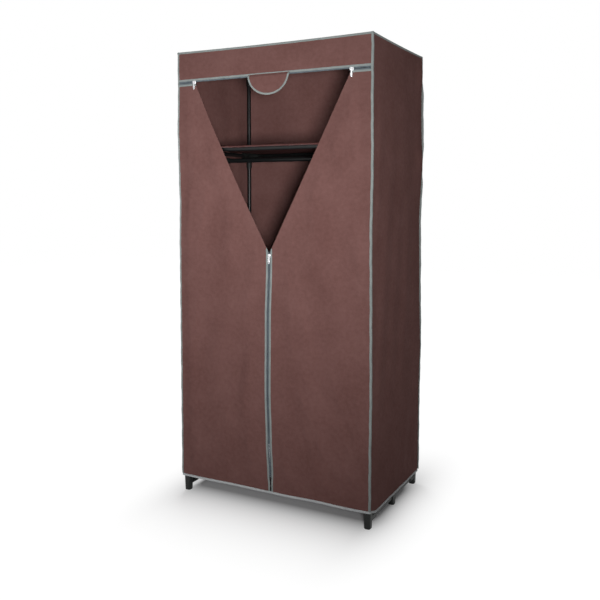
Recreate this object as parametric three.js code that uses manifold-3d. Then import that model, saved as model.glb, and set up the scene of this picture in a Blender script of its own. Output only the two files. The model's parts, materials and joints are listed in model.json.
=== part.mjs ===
// A portable fabric wardrobe: a black tube frame in moulded connectors, with a hanging rail
// and a cloth shelf, under a sewn cloth cover whose two doors are zipped part of the way up
// and folded in at the top, so that they leave a V.
// Millimetres, +Z up, front towards -Y, origin on the floor under the middle of the frame.
import * as THREE from 'three';
import { mergeGeometries, mergeVertices } from 'three/addons/utils/BufferGeometryUtils.js';
import Module from 'manifold-3d';

const wasm = await Module();
wasm.setup();

// Whole cover
const coverWidth = 750;
const coverDepth = 480;
const coverHeight = 1600;
const frontHemHeight = 57;
const sideHemHeight = 44;
const hemRamp = 55;
const rampColumns = 4;
const restColumns = 7;

// Shared fits
const restGap = 0.3;
const cutOverrun = 2;
const weldTolerance = 0.0003;

// Cloth, bindings and piping
const clothThickness = 1.2;
const bindingWidth = 8;
const zipBindingWidth = 6.4;
const bindingThickness = 2.4;
const pipingWidth = 7;
const pipingProud = 0.8;
const pipingChamfer = 2.2;
const pipingEdge = 2.4;
const sideBow = 4;
const backBow = 3;
const foldDepth = 2.2;
const roofSag = 7;

// Steel tubes
const tubeDiameter = 16;
const tubeWall = 0.8;
const tubeSides = 16;

// Moulded connectors
const fitClearance = 0.3;
const sleeveWall = 2.7;
const sleeveLength = 48;
const boreStart = 13;
const postInset = 15.5;
const postSetback = 20;
const gussetReach = 42;
const gussetThickness = 5;
const gussetSteps = 4;

// Feet
const footTopWidth = 26;
const footSoleWidth = 22;
const footSoleChamfer = 2;
const footCorner = 4;
const sideTubeHeight = 28;
const frontTubeHeight = 64;
const postSeat = 80;
const footSleeveTop = 122;
const footFlare = 15;
const footShoulder = 6;
const midFootLength = 34;
const midFootSoleLength = 20;

// Shelf and hanging rail
const shelfDrop = 346;
const railDrop = 29;
const railBracketLength = 34;
const railCupReach = 46;
const deckSag = 8;
const deckEdge = 5;
const deckRise = 60;
const deckBasin = 110;

// Front opening
const headerZipDrop = 109;
const foldHeight = 594.8;
const foldTopInset = 72;
const tipFoldInset = 32;
const foldClearance = 64;
const zipFootRise = 58;
const pinchRadius = 10;

// Zipper
const chainGap = 2.4;
const chainWidth = 2.7;
const chainThickness = 2.2;
const tapeReach = 5.5;
const stopLength = 6;
const stopThickness = 3;

// Zip sliders and pulls
const channelClearance = 0.25;
const sliderPlate = 1;
const sliderLength = 14;
const sliderMouthWidth = 10.6;
const sliderHeelWidth = 9.4;
const sliderFlange = 0.8;
const bridgeWidth = 1.6;
const bridgeLength = 3.6;
const bailDiameter = 1.4;
const bailSpan = 6.4;
const bailFoot = 1.3;
const knuckleWall = 0.55;
const knuckleClearance = 0.25;
const knuckleWidth = 3.8;
const pullLength = 26;
const pullNeckWidth = 4.4;
const pullEndWidth = 7.6;
const pullThickness = 1.2;
const pullHole = 3;
const pullHoleInset = 5.5;
const centreSliderDrop = 9.5;
const smallSides = 10;

// Semicircular tab over the zip's meeting point
const tabWidth = 158;
const tabDrop = 68;
const tabThickness = 1;
const tabRootRise = 2.5;
const tabSlope = 7;
const tabStandOff = 1;
const tabColumns = 16;
const tabRows = 10;

// Materials, in colours taken by eye
const finish = (name, color, roughness, metalness) => {
  const material = new THREE.MeshStandardMaterial({ color, roughness, metalness });
  material.name = name;
  return material;
};
const cloth = finish('brown_cloth', 0x6b4743, 0.95, 0);
const binding = finish('grey_binding', 0x8b9290, 0.85, 0);
const zipTape = finish('zip_tape', 0x6d757b, 0.8, 0);
const deckCloth = finish('deck_cloth', 0x3a2022, 0.95, 0);
const steel = finish('black_steel', 0x17181a, 0.35, 0.6);
const plastic = finish('black_plastic', 0x1b1c1d, 0.5, 0);
const zinc = finish('bright_zinc', 0xd9dadb, 0.3, 0.9);

// Places that follow from the sizes above
const tubeRadius = tubeDiameter / 2;
const boreRadius = tubeRadius + fitClearance;
const sleeveRadius = boreRadius + sleeveWall;
const halfWidth = coverWidth / 2;
const halfDepth = coverDepth / 2;
const postX = halfWidth - postInset;
const postY = halfDepth - postSetback;
const frontY = -halfDepth;
const clothMidY = frontY + clothThickness / 2;
const topTubeHeight = coverHeight - clothThickness - restGap - sleeveRadius;
const shelfTubeHeight = coverHeight - shelfDrop;
const railHeight = shelfTubeHeight - railDrop;
const headerZipHeight = coverHeight - headerZipDrop;
const panelEdge = pipingWidth - pipingProud + restGap;
const panelTop = coverHeight - panelEdge;
const layerStep = bindingThickness + restGap;
const chainOuter = chainGap / 2 + chainWidth;
const zipBindingOuter = tapeReach + zipBindingWidth;
const doorTopChain = headerZipHeight - chainGap / 2;
const foldApexHeight = doorTopChain - foldHeight;
const foldTopX = halfWidth - foldTopInset;
const tipFoldX = halfWidth - tipFoldInset;
const zipFootHeight = frontHemHeight + zipFootRise;
const doorBindingTop = headerZipHeight - tapeReach;
const doorBindingFoot = doorBindingTop - zipBindingWidth;
const doorEdgeX = halfWidth - panelEdge;

// Solids: geometry in, joined or cut geometry out
function toSolid(geometry) {
  const bare = geometry.clone();
  bare.deleteAttribute('normal');
  bare.deleteAttribute('uv');
  const merged = mergeVertices(bare, weldTolerance);
  const mesh = new wasm.Mesh({
    numProp: 3,
    vertProperties: new Float32Array(merged.attributes.position.array),
    triVerts: new Uint32Array(merged.index.array),
  });
  return new wasm.Manifold(mesh);
}

function toGeometry(solid) {
  const mesh = solid.getMesh();
  const geometry = new THREE.BufferGeometry();
  const places = [];
  for (let i = 0; i < mesh.vertProperties.length; i += mesh.numProp) {
    places.push(mesh.vertProperties[i], mesh.vertProperties[i + 1], mesh.vertProperties[i + 2]);
  }
  geometry.setAttribute('position', new THREE.Float32BufferAttribute(places, 3));
  geometry.setIndex(Array.from(mesh.triVerts));
  geometry.computeVertexNormals();
  return geometry;
}

function join(...pieces) {
  return toGeometry(pieces.map(toSolid).reduce((whole, piece) => whole.add(piece)));
}

function cut(body, ...tools) {
  return toGeometry(tools.map(toSolid).reduce((rest, tool) => rest.subtract(tool), toSolid(body)));
}

function common(body, tool) {
  return toGeometry(toSolid(body).intersect(toSolid(tool)));
}

function mirrored(geometry, x, y = 1) {
  const copy = geometry.clone().scale(x, y, 1);
  if (x * y > 0) return copy;
  const order = copy.index ? copy.index.array : copy.attributes.position.array.map((_, i) => i);
  const corners = copy.index ? Array.from(order) : [...Array(copy.attributes.position.count).keys()];
  for (let i = 0; i < corners.length; i += 3) {
    [corners[i], corners[i + 1]] = [corners[i + 1], corners[i]];
  }
  copy.setIndex(corners);
  return copy;
}

// Turns a piece that was made along +Y to lie along an axis
function along(geometry, axis) {
  const turned = geometry.clone();
  if (axis === 'x') turned.rotateZ(-Math.PI / 2);
  if (axis === 'z') turned.rotateX(Math.PI / 2);
  return turned;
}

// A solid rod from one place to another along an axis, off a hub by an offset
function rod(radius, axis, from, to, offset = [0, 0, 0], sides = tubeSides) {
  const length = Math.abs(to - from);
  const piece = along(new THREE.CylinderGeometry(radius, radius, length, sides), axis);
  const middle = (from + to) / 2;
  const place = { x: [middle, 0, 0], y: [0, middle, 0], z: [0, 0, middle] }[axis];
  return piece.translate(place[0] + offset[0], place[1] + offset[1], place[2] + offset[2]);
}

// A block given by its lowest and highest corner
function block(low, high) {
  const size = high.map((value, i) => value - low[i]);
  const middle = high.map((value, i) => (value + low[i]) / 2);
  return new THREE.BoxGeometry(...size).translate(...middle);
}

// A flat outline given in two axes, made thick along the third, between two places
function plate(points, plane, from, to) {
  const outline = points instanceof THREE.Shape ? points : new THREE.Shape(points);
  const piece = new THREE.ExtrudeGeometry(outline, {
    depth: to - from,
    bevelEnabled: false,
    curveSegments: smallSides,
  });
  piece.translate(0, 0, from);
  if (plane === 'xz') return mirrored(piece.rotateX(Math.PI / 2), 1, -1);
  if (plane === 'yz') return piece.rotateX(Math.PI / 2).rotateZ(Math.PI / 2);
  return piece;
}

// A closed solid through rings of equal point counts, capped at both ends
function loft(rings) {
  const count = rings[0].length;
  const places = rings.flat().flatMap((point) => [point.x, point.y, point.z]);
  const faces = [];
  for (let r = 0; r + 1 < rings.length; r += 1) {
    for (let i = 0; i < count; i += 1) {
      const a = r * count + i;
      const b = r * count + ((i + 1) % count);
      faces.push(a, b, a + count, b, b + count, a + count);
    }
  }
  const last = (rings.length - 1) * count;
  for (let i = 1; i + 1 < count; i += 1) {
    faces.push(0, i + 1, i);
    faces.push(last, last + i, last + i + 1);
  }
  const geometry = new THREE.BufferGeometry();
  geometry.setAttribute('position', new THREE.Float32BufferAttribute(places, 3));
  geometry.setIndex(faces);
  geometry.computeVertexNormals();
  return geometry;
}

// A square ring with cut corners, level at a height
function squareRing(widthX, widthY, corner, height, shiftX = 0, shiftY = 0) {
  const x = widthX / 2;
  const y = widthY / 2;
  return [
    [x, -y + corner], [x, y - corner], [x - corner, y], [-x + corner, y],
    [-x, y - corner], [-x, -y + corner], [-x + corner, -y], [x - corner, -y],
  ].map(([px, py]) => new THREE.Vector3(px + shiftX, py + shiftY, height));
}

// A sheet of cloth over a grid, with its thickness added along one direction
function sheet(columns, rows, pointAt, inward) {
  const outer = [];
  for (let r = 0; r <= rows; r += 1) {
    for (let c = 0; c <= columns; c += 1) outer.push(pointAt(c / columns, r / rows));
  }
  const inner = outer.map((point) => point.clone().add(inward));
  const places = [...outer, ...inner].flatMap((point) => [point.x, point.y, point.z]);
  const across = columns + 1;
  const under = outer.length;
  const faces = [];
  for (let r = 0; r < rows; r += 1) {
    for (let c = 0; c < columns; c += 1) {
      const a = r * across + c;
      faces.push(a, a + 1, a + across, a + 1, a + across + 1, a + across);
      const b = a + under;
      faces.push(b, b + across, b + 1, b + 1, b + across, b + across + 1);
    }
  }
  const wall = (a, b) => faces.push(b, a, a + under, b, a + under, b + under);
  for (let c = 0; c < columns; c += 1) {
    wall(c, c + 1);
    wall(rows * across + c + 1, rows * across + c);
  }
  for (let r = 0; r < rows; r += 1) {
    wall((r + 1) * across, r * across);
    wall(r * across + columns, (r + 1) * across + columns);
  }
  const geometry = new THREE.BufferGeometry();
  geometry.setAttribute('position', new THREE.Float32BufferAttribute(places, 3));
  geometry.setIndex(faces);
  geometry.computeVertexNormals();
  return geometry;
}

const smooth = (share) => {
  const s = Math.min(1, Math.max(0, share));
  return s * s * (3 - 2 * s);
};
const edgeFade = (u, v, marginShare) => smooth(Math.min(u, 1 - u, v, 1 - v) / marginShare);

// Soft vertical folds and a bow, both fading out at the seams; always outwards
function slack(u, v, bow, turns, phase) {
  const belly = Math.sin(Math.PI * u) * Math.sin(Math.PI * v);
  const lean = Math.PI * 2 * (turns * u + 0.35 * Math.sin(Math.PI * 1.5 * v + phase));
  const folds = foldDepth * (0.5 + 0.5 * Math.sin(lean + phase));
  return edgeFade(u, v, 0.12) * (bow * belly + folds * (0.45 + 0.55 * Math.sin(Math.PI * v)));
}

// Frame: tubes
function hollowTube(length, axis) {
  const inner = tubeRadius - tubeWall;
  const profile = [[inner, 0], [tubeRadius, 0], [tubeRadius, length], [inner, length], [inner, 0]];
  const points = profile.map(([r, h]) => new THREE.Vector2(r, h - length / 2));
  return along(new THREE.LatheGeometry(points, tubeSides), axis);
}

const wardrobe = new THREE.Group();

function place(parent, name, geometry, material, x = 0, y = 0, z = 0) {
  const mesh = new THREE.Mesh(geometry, material);
  mesh.name = name;
  mesh.position.set(x, y, z);
  parent.add(mesh);
  return mesh;
}

// Frame: moulded connectors, each made for the left front corner and turned about for the others
function sleeve(axis, reach, offset = [0, 0, 0]) {
  return rod(sleeveRadius, axis, 0, reach, offset);
}

function socket(axis, from, reach, offset = [0, 0, 0]) {
  return rod(boreRadius, axis, from, reach + Math.sign(reach) * cutOverrun, offset);
}

// The web between two sleeves, with a hollow quarter curve for its free edge
function gusset(plane, reach, towardsA, towardsB, shift = [0, 0, 0]) {
  const rim = sleeveRadius / 2;
  const radius = reach - rim;
  const points = [new THREE.Vector2(0, 0), new THREE.Vector2(towardsA * reach, 0)];
  for (let i = 0; i <= gussetSteps; i += 1) {
    const angle = (Math.PI / 2) * (i / gussetSteps);
    const a = reach - radius * Math.sin(angle);
    const b = reach - radius * Math.cos(angle);
    points.push(new THREE.Vector2(towardsA * a, towardsB * b));
  }
  points.push(new THREE.Vector2(0, towardsB * reach));
  return plate(points, plane, -gussetThickness / 2, gussetThickness / 2).translate(...shift);
}

function topCorner() {
  const body = join(
    sleeve('x', sleeveLength),
    sleeve('y', sleeveLength),
    sleeve('z', -sleeveLength),
    gusset('xz', gussetReach, 1, -1),
    gusset('yz', gussetReach, 1, -1),
    gusset('xy', gussetReach, 1, 1),
  );
  return cut(
    body,
    socket('x', boreStart, sleeveLength),
    socket('y', boreStart, sleeveLength),
    socket('z', -boreStart, -sleeveLength),
  );
}

function shelfCorner() {
  const body = join(
    sleeve('x', sleeveLength),
    sleeve('y', sleeveLength),
    sleeve('z', -sleeveLength),
    sleeve('z', sleeveLength),
    gusset('xz', gussetReach, 1, -1),
    gusset('yz', gussetReach, 1, -1),
  );
  return cut(
    body,
    socket('x', boreStart, sleeveLength),
    socket('y', boreStart, sleeveLength),
    socket('z', -boreStart, -sleeveLength),
    socket('z', boreStart, sleeveLength),
  );
}

function cornerFoot() {
  const column = loft([
    squareRing(footSoleWidth - footSoleChamfer, footSoleWidth - footSoleChamfer, footCorner, 0),
    squareRing(footSoleWidth, footSoleWidth, footCorner, footSoleChamfer),
    squareRing(footTopWidth, footTopWidth, footCorner, frontTubeHeight + sleeveRadius),
    squareRing(sleeveRadius * 2, sleeveRadius * 2, footCorner, postSeat + footShoulder),
  ]);
  const acrossAt = [0, 0, frontTubeHeight];
  const backAt = [0, 0, sideTubeHeight];
  const body = join(
    column,
    rod(sleeveRadius, 'z', sideTubeHeight, footSleeveTop),
    sleeve('x', sleeveLength, acrossAt),
    sleeve('y', sleeveLength, backAt),
    gusset('xz', footFlare + sleeveRadius, 1, -1, acrossAt),
    gusset('xz', gussetReach, 1, 1, acrossAt),
    gusset('yz', footFlare + sleeveRadius, 1, -1, backAt),
    gusset('yz', gussetReach, 1, 1, backAt),
  );
  const trimmed = common(body, block(
    [-footTopWidth, -footTopWidth, 0],
    [sleeveLength + cutOverrun, sleeveLength + cutOverrun, footSleeveTop + cutOverrun],
  ));
  return cut(
    trimmed,
    rod(boreRadius, 'z', postSeat - restGap, footSleeveTop + cutOverrun),
    socket('x', boreStart, sleeveLength, acrossAt),
    socket('y', boreStart, sleeveLength, backAt),
  );
}

function middleFoot() {
  const half = midFootLength / 2;
  const leg = loft([
    squareRing(footSoleWidth - footSoleChamfer, midFootSoleLength - footSoleChamfer, footCorner, -sideTubeHeight),
    squareRing(footSoleWidth, midFootSoleLength, footCorner, footSoleChamfer - sideTubeHeight),
    squareRing(footSoleWidth, midFootLength - footSoleChamfer, footCorner, 0),
  ]);
  const body = join(
    leg,
    rod(sleeveRadius, 'y', -half, half),
  );
  return cut(body, rod(boreRadius, 'y', -half - cutOverrun, half + cutOverrun));
}

function railBracket() {
  const half = railBracketLength / 2;
  const drop = [0, 0, -railDrop];
  const body = join(
    rod(sleeveRadius, 'y', -half, half),
    sleeve('x', railCupReach, drop),
    rod(sleeveRadius, 'z', -railDrop, 0),
    gusset('xz', gussetReach, 1, 1, drop),
  );
  const under = block(
    [-gussetReach, -half, sleeveRadius],
    [railCupReach + cutOverrun, half, gussetReach],
  );
  return cut(
    body,
    under,
    rod(boreRadius, 'y', -half - cutOverrun, half + cutOverrun),
    socket('x', boreStart, railCupReach, drop),
  );
}

const sides = [['left', -1], ['right', 1]];
const ends = [['front', -1], ['back', 1]];

function buildConnectors() {
  const top = topCorner();
  const shelf = shelfCorner();
  const foot = cornerFoot();
  for (const [endName, y] of ends) {
    for (const [sideName, x] of sides) {
      const corner = `${endName}_${sideName}`;
      const at = [x * postX, y * postY];
      place(wardrobe, `top_corner_${corner}`, mirrored(top, -x, -y), plastic, ...at, topTubeHeight);
      place(wardrobe, `shelf_corner_${corner}`, mirrored(shelf, -x, -y), plastic, ...at, shelfTubeHeight);
      place(wardrobe, `foot_${corner}`, mirrored(foot, -x, -y), plastic, ...at);
    }
  }
  for (const [sideName, x] of sides) {
    place(wardrobe, `mid_foot_${sideName}`, middleFoot(), plastic, x * postX, 0, sideTubeHeight);
    place(
      wardrobe, `rail_bracket_${sideName}`, mirrored(railBracket(), -x), plastic,
      x * postX, 0, shelfTubeHeight,
    );
  }
}

// A tube's ends stop short of the ends of the sockets that hold them
function buildTubes() {
  const seat = boreStart + restGap;
  const lowerPost = shelfTubeHeight - seat - postSeat;
  const upperPost = topTubeHeight - shelfTubeHeight - seat * 2;
  const acrossLength = (postX - seat) * 2;
  const backLength = (postY - seat) * 2;
  for (const [endName, y] of ends) {
    for (const [sideName, x] of sides) {
      const corner = `${endName}_${sideName}`;
      place(
        wardrobe, `lower_post_${corner}`, hollowTube(lowerPost, 'z'), steel,
        x * postX, y * postY, postSeat + lowerPost / 2,
      );
      place(
        wardrobe, `upper_post_${corner}`, hollowTube(upperPost, 'z'), steel,
        x * postX, y * postY, shelfTubeHeight + seat + upperPost / 2,
      );
    }
  }
  const levels = [
    ['base', frontTubeHeight, sideTubeHeight],
    ['shelf', shelfTubeHeight, shelfTubeHeight],
    ['top', topTubeHeight, topTubeHeight],
  ];
  for (const [level, acrossHeight, backHeight] of levels) {
    for (const [endName, y] of ends) {
      place(
        wardrobe, `${level}_tube_${endName}`, hollowTube(acrossLength, 'x'), steel,
        0, y * postY, acrossHeight,
      );
    }
    for (const [sideName, x] of sides) {
      place(
        wardrobe, `${level}_tube_${sideName}`, hollowTube(backLength, 'y'), steel,
        x * postX, 0, backHeight,
      );
    }
  }
  place(wardrobe, 'hanging_rail', hollowTube(acrossLength, 'x'), steel, 0, 0, railHeight);
}

// Cloth shelf: it lies on the connectors and brackets, and sags between the shelf tubes
function shelfDeck() {
  const reachX = postX;
  const reachY = postY + tubeRadius + restGap + clothThickness;
  const level = shelfTubeHeight + tubeRadius + restGap + clothThickness;
  const lift = sleeveRadius - tubeRadius;
  const near = (value, edge) => smooth((value - edge + deckRise) / deckRise * 1.5);
  const heightAt = (x, y) => {
    const cornerShare = near(Math.abs(x), postX - sleeveLength) * near(Math.abs(y), postY - sleeveLength);
    const bracketShare = near(Math.abs(x), postX - sleeveRadius)
      * (1 - smooth((Math.abs(y) - railBracketLength) / deckRise));
    const basinShare = smooth((postX - tubeDiameter - Math.abs(x)) / deckBasin)
      * smooth((postY - tubeDiameter - Math.abs(y)) / deckBasin);
    return level + lift * Math.max(cornerShare, bracketShare) - deckSag * basinShare;
  };
  const columns = 18;
  const rows = 10;
  const pointAt = (u, v) => {
    const x = reachX * (2 * u - 1);
    const y = reachY * (2 * v - 1);
    return new THREE.Vector3(x, y, heightAt(x, y));
  };
  const flat = sheet(columns, rows, pointAt, new THREE.Vector3(0, 0, -clothThickness));
  const turned = reachX - sleeveLength - tubeRadius;
  const front = sheet(columns / 2, 1, (u, v) => {
    const x = turned * (2 * u - 1);
    const z = level - clothThickness / 2;
    return new THREE.Vector3(x, -reachY, z - deckEdge * (1 - v));
  }, new THREE.Vector3(0, clothThickness, 0));
  const notches = ends.flatMap(([, y]) => sides.map(([, x]) => rod(
    sleeveRadius + restGap, 'z', shelfTubeHeight, level + gussetReach,
    [x * postX, y * postY, 0],
  )));
  return cut(join(flat, front, mirrored(front, 1, -1)), ...notches);
}

// Cover: roof, back, sides
function roofPanel() {
  const x = halfWidth - panelEdge;
  const y = halfDepth - panelEdge;
  return sheet(10, 8, (u, v) => {
    const sag = roofSag * edgeFade(u, v, 0.35) * Math.sin(Math.PI * u) * Math.sin(Math.PI * v);
    return new THREE.Vector3(x * (2 * u - 1), y * (2 * v - 1), -sag);
  }, new THREE.Vector3(0, 0, -clothThickness));
}

// How far back from the front each column of a side panel stands: close together where the
// hem steps down, so that the panel's foot and the hem's binding bend at the same places
function sideColumns() {
  const far = coverDepth - panelEdge;
  const ramp = Array.from({ length: rampColumns }, (_, i) => (hemRamp * (i + 1)) / rampColumns);
  const rest = Array.from(
    { length: restColumns },
    (_, i) => hemRamp + ((far - hemRamp) * (i + 1)) / restColumns,
  );
  return [panelEdge, ...ramp, ...rest];
}

function hemAt(distanceFromFront) {
  return sideHemHeight + (frontHemHeight - sideHemHeight) * (1 - smooth(distanceFromFront / hemRamp));
}

function sidePanel(x) {
  const columns = sideColumns();
  const count = columns.length - 1;
  return sheet(count, 14, (u, v) => {
    const i = Math.round(u * count);
    const back = columns[x > 0 ? i : count - i];
    const low = hemAt(back) + bindingWidth + restGap;
    const out = slack(back / coverDepth, v, sideBow, 1.5, x > 0 ? 0.6 : 2.1);
    return new THREE.Vector3(x * (halfWidth + out), back - halfDepth, low + (panelTop - low) * v);
  }, new THREE.Vector3(-x * clothThickness, 0, 0));
}

function backPanel() {
  const x = halfWidth - panelEdge;
  const low = sideHemHeight + bindingWidth + restGap;
  return sheet(10, 14, (u, v) => {
    const out = slack(u, v, backBow, 2.5, 1.2);
    return new THREE.Vector3(x * (1 - 2 * u), halfDepth + out, low + (panelTop - low) * v);
  }, new THREE.Vector3(0, -clothThickness, 0));
}

// Outline across an edge of cloth with a binding, a strip of tape and half a zip chain.
// Distances run from the zip's middle line; the thickness lies either side of the cloth.
function zipEdgeOutline(clothReach) {
  const steps = [
    [chainGap / 2, chainThickness],
    [chainOuter, chainThickness],
    [chainOuter, clothThickness],
    [tapeReach, clothThickness],
    [tapeReach, bindingThickness],
    [zipBindingOuter, bindingThickness],
  ];
  if (clothReach > zipBindingOuter) {
    steps.push([zipBindingOuter, clothThickness], [clothReach, clothThickness]);
  }
  const near = steps.map(([away, thick]) => new THREE.Vector2(away, -thick / 2));
  const far = steps.map(([away, thick]) => new THREE.Vector2(away, thick / 2)).reverse();
  return [...near, ...far];
}

// The same outline stood above or below a level zip, between two places along X
function levelZipEdge(clothReach, up, fromX, toX) {
  const outline = zipEdgeOutline(clothReach).map(
    (point) => new THREE.Vector2(clothMidY + point.y, headerZipHeight + up * point.x),
  );
  return plate(outline, 'yz', fromX, toX);
}

function headerPanel() {
  return levelZipEdge(panelTop - headerZipHeight, 1, -doorEdgeX, doorEdgeX);
}

// The two bindings and half chains that run down the middle of the front
function standingZipEdge(side, low, high, clothReach = 0) {
  const outline = zipEdgeOutline(clothReach).map(
    (point) => new THREE.Vector2(side * point.x, clothMidY + point.y),
  );
  return plate(outline, 'xy', low, high);
}

// The part of the closed door that folds in: all that lies beyond the fold line
function foldZone(side) {
  const rise = doorTopChain - foldApexHeight;
  const run = foldTopX - chainGap / 2;
  const over = cutOverrun / rise;
  const points = [
    new THREE.Vector2(side * (chainGap / 2 - over * run), foldApexHeight - over * rise),
    new THREE.Vector2(side * (foldTopX + over * run), doorTopChain + over * rise),
    new THREE.Vector2(-side * cutOverrun, doorTopChain + over * rise),
    new THREE.Vector2(-side * cutOverrun, foldApexHeight - over * rise),
  ];
  return plate(points, 'xz', clothMidY - bindingThickness, clothMidY + bindingThickness);
}

// How far a point of the front lies outside the fold line, from 0 on it
function awayFromFold(x, z) {
  const run = foldTopX - chainGap / 2;
  const rise = doorTopChain - foldApexHeight;
  const across = (x - chainGap / 2) * rise - (z - foldApexHeight) * run;
  return across / Math.hypot(run, rise);
}

function doorPanel(side) {
  const inner = zipBindingOuter + restGap;
  const low = frontHemHeight + bindingWidth + restGap;
  const high = doorBindingFoot + zipBindingWidth / 2;
  const phase = side > 0 ? 0.4 : 2.9;
  const panel = sheet(8, 16, (u, v) => {
    const x = side > 0 ? inner + (doorEdgeX - inner) * u : doorEdgeX + (inner - doorEdgeX) * u;
    const z = low + (high - low) * v;
    const clear = z < foldApexHeight ? 1 : smooth(awayFromFold(x, z) / foldClearance);
    const out = clear * slack(u, v, 0, 1.2, phase);
    return new THREE.Vector3(side * x, frontY - out, z);
  }, new THREE.Vector3(0, clothThickness, 0));
  const top = levelZipEdge(0, -1, Math.min(side * doorEdgeX, 0), Math.max(side * doorEdgeX, 0));
  return cut(join(panel, top), foldZone(side));
}

// The stop at the zip's foot is fixed to the right half and reaches across to the left one
function zipStop() {
  return block(
    [restGap - chainGap / 2, clothMidY - stopThickness / 2, zipFootHeight - stopLength],
    [tapeReach + bindingThickness, clothMidY + stopThickness / 2, zipFootHeight + clothThickness],
  );
}

function zipSide(side) {
  const low = frontHemHeight + bindingWidth + restGap;
  const chained = standingZipEdge(side, zipFootHeight, doorTopChain);
  const bound = plate(
    [
      new THREE.Vector2(side * tapeReach, clothMidY - bindingThickness / 2),
      new THREE.Vector2(side * zipBindingOuter, clothMidY - bindingThickness / 2),
      new THREE.Vector2(side * zipBindingOuter, clothMidY + bindingThickness / 2),
      new THREE.Vector2(side * tapeReach, clothMidY + bindingThickness / 2),
    ], 'xy', low, zipFootHeight + cutOverrun,
  );
  const closed = side > 0 ? join(chained, bound, zipStop()) : join(chained, bound);
  const whole = cut(closed, foldZone(side));
  const top = block(
    [-coverWidth, frontY - bindingThickness, foldApexHeight + gussetReach],
    [coverWidth, frontY + bindingThickness * 2, coverHeight],
  );
  return cut(whole, top);
}

// The turned-in flap, as it lies when the door is closed
function closedFlap(side) {
  const low = foldApexHeight - cutOverrun;
  const high = doorTopChain;
  const lapX = zipBindingOuter - zipBindingWidth / 2;
  const flat = plate(
    [
      new THREE.Vector2(side * lapX, low),
      new THREE.Vector2(side * (foldTopX + cutOverrun), low),
      new THREE.Vector2(side * (foldTopX + cutOverrun), doorBindingFoot + zipBindingWidth / 2),
      new THREE.Vector2(side * lapX, doorBindingFoot + zipBindingWidth / 2),
    ], 'xz', clothMidY - clothThickness / 2, clothMidY + clothThickness / 2,
  );
  const top = levelZipEdge(
    0, -1,
    Math.min(side * foldTopX, side * tapeReach), Math.max(side * foldTopX, side * tapeReach),
  );
  const pinches = [[chainGap / 2, foldApexHeight], [foldTopX, doorTopChain]].map(
    ([x, z]) => rod(pinchRadius, 'y', -coverDepth, coverDepth, [side * x, 0, z]),
  );
  const whole = common(join(flat, standingZipEdge(side, low, high), top), foldZone(side));
  return cut(whole, ...pinches);
}

// Fold line of a flap, from its foot to its top, halfway between door and flap
function foldLine(side) {
  const y = clothMidY + layerStep / 2;
  const foot = new THREE.Vector3(side * (chainGap / 2), y, foldApexHeight);
  const head = new THREE.Vector3(side * foldTopX, y, doorTopChain);
  return { foot, head, axis: head.clone().sub(foot).normalize() };
}

// The flap is folded half a turn about its fold line, and its far corner half a turn back
function buildFlap(name, side) {
  const { foot, axis } = foldLine(side);
  const hinge = new THREE.Group();
  hinge.position.copy(foot);
  hinge.quaternion.setFromAxisAngle(axis, Math.PI);
  wardrobe.add(hinge);
  const flap = closedFlap(side).translate(-foot.x, -foot.y, -foot.z);

  // The second fold stands upright once the flap is folded, so it is found by folding it back
  const backwards = hinge.quaternion.clone().invert();
  const tipHinge = new THREE.Vector3(side * tipFoldX, clothMidY + layerStep * 1.5, foldApexHeight);
  const tipPlace = tipHinge.clone().sub(foot).applyQuaternion(backwards);
  const tipAxis = new THREE.Vector3(0, 0, 1).applyQuaternion(backwards);
  const outward = new THREE.Vector3(side, 0, 0).applyQuaternion(backwards);
  const beyond = new THREE.BoxGeometry(coverWidth, coverDepth, coverHeight * 2);
  const turn = new THREE.Matrix4().makeBasis(
    outward, new THREE.Vector3().crossVectors(tipAxis, outward), tipAxis,
  );
  beyond.translate(coverWidth / 2, 0, 0).applyMatrix4(turn);
  beyond.translate(tipPlace.x, tipPlace.y, tipPlace.z);
  place(hinge, `${name}_flap`, cut(flap, beyond), cloth);

  const tipGroup = new THREE.Group();
  tipGroup.position.copy(tipPlace);
  tipGroup.quaternion.setFromAxisAngle(tipAxis, Math.PI);
  hinge.add(tipGroup);
  const tip = common(flap, beyond).translate(-tipPlace.x, -tipPlace.y, -tipPlace.z);
  place(tipGroup, `${name}_flap_tip`, tip, cloth);
}

// Piping: a bead round the roof and one down each corner, hollowed off behind so that it
// clears the connectors. Its outline is that of the left front corner seen from above.
function pipingOutline() {
  const c = pipingChamfer;
  const w = pipingWidth;
  return [
    [0, w], [0, c], [c, 0], [w, 0], [w, pipingEdge], [pipingEdge, w],
  ].map(([a, b]) => new THREE.Vector2(a - halfWidth - pipingProud, b - halfDepth - pipingProud));
}

function coverPiping() {
  const x = halfWidth + pipingProud;
  const y = halfDepth + pipingProud;
  const z = coverHeight + pipingProud;
  const low = (height) => height + bindingWidth + restGap;
  const pieces = [];
  for (const [, sideX] of sides) {
    const front = plate(pipingOutline(), 'xy', low(frontHemHeight), z - pipingWidth / 2);
    const back = plate(pipingOutline(), 'xy', low(sideHemHeight), z - pipingWidth / 2);
    pieces.push(mirrored(front, -sideX, 1), mirrored(back, -sideX, -1));
  }
  const overSide = pipingOutline().map((point) => new THREE.Vector2(
    point.x, z - (point.y + y),
  ));
  const overFront = pipingOutline().map((point) => new THREE.Vector2(
    point.y, z - (point.x + x),
  ));
  const sideBead = plate(overSide, 'xz', -y, y);
  const frontBead = plate(overFront, 'yz', -x, x);
  pieces.push(sideBead, mirrored(sideBead, -1), frontBead, mirrored(frontBead, 1, -1));
  const trim = block([-x, -y, 0], [x, y, z]);
  return common(join(...pieces), trim);
}

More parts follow.
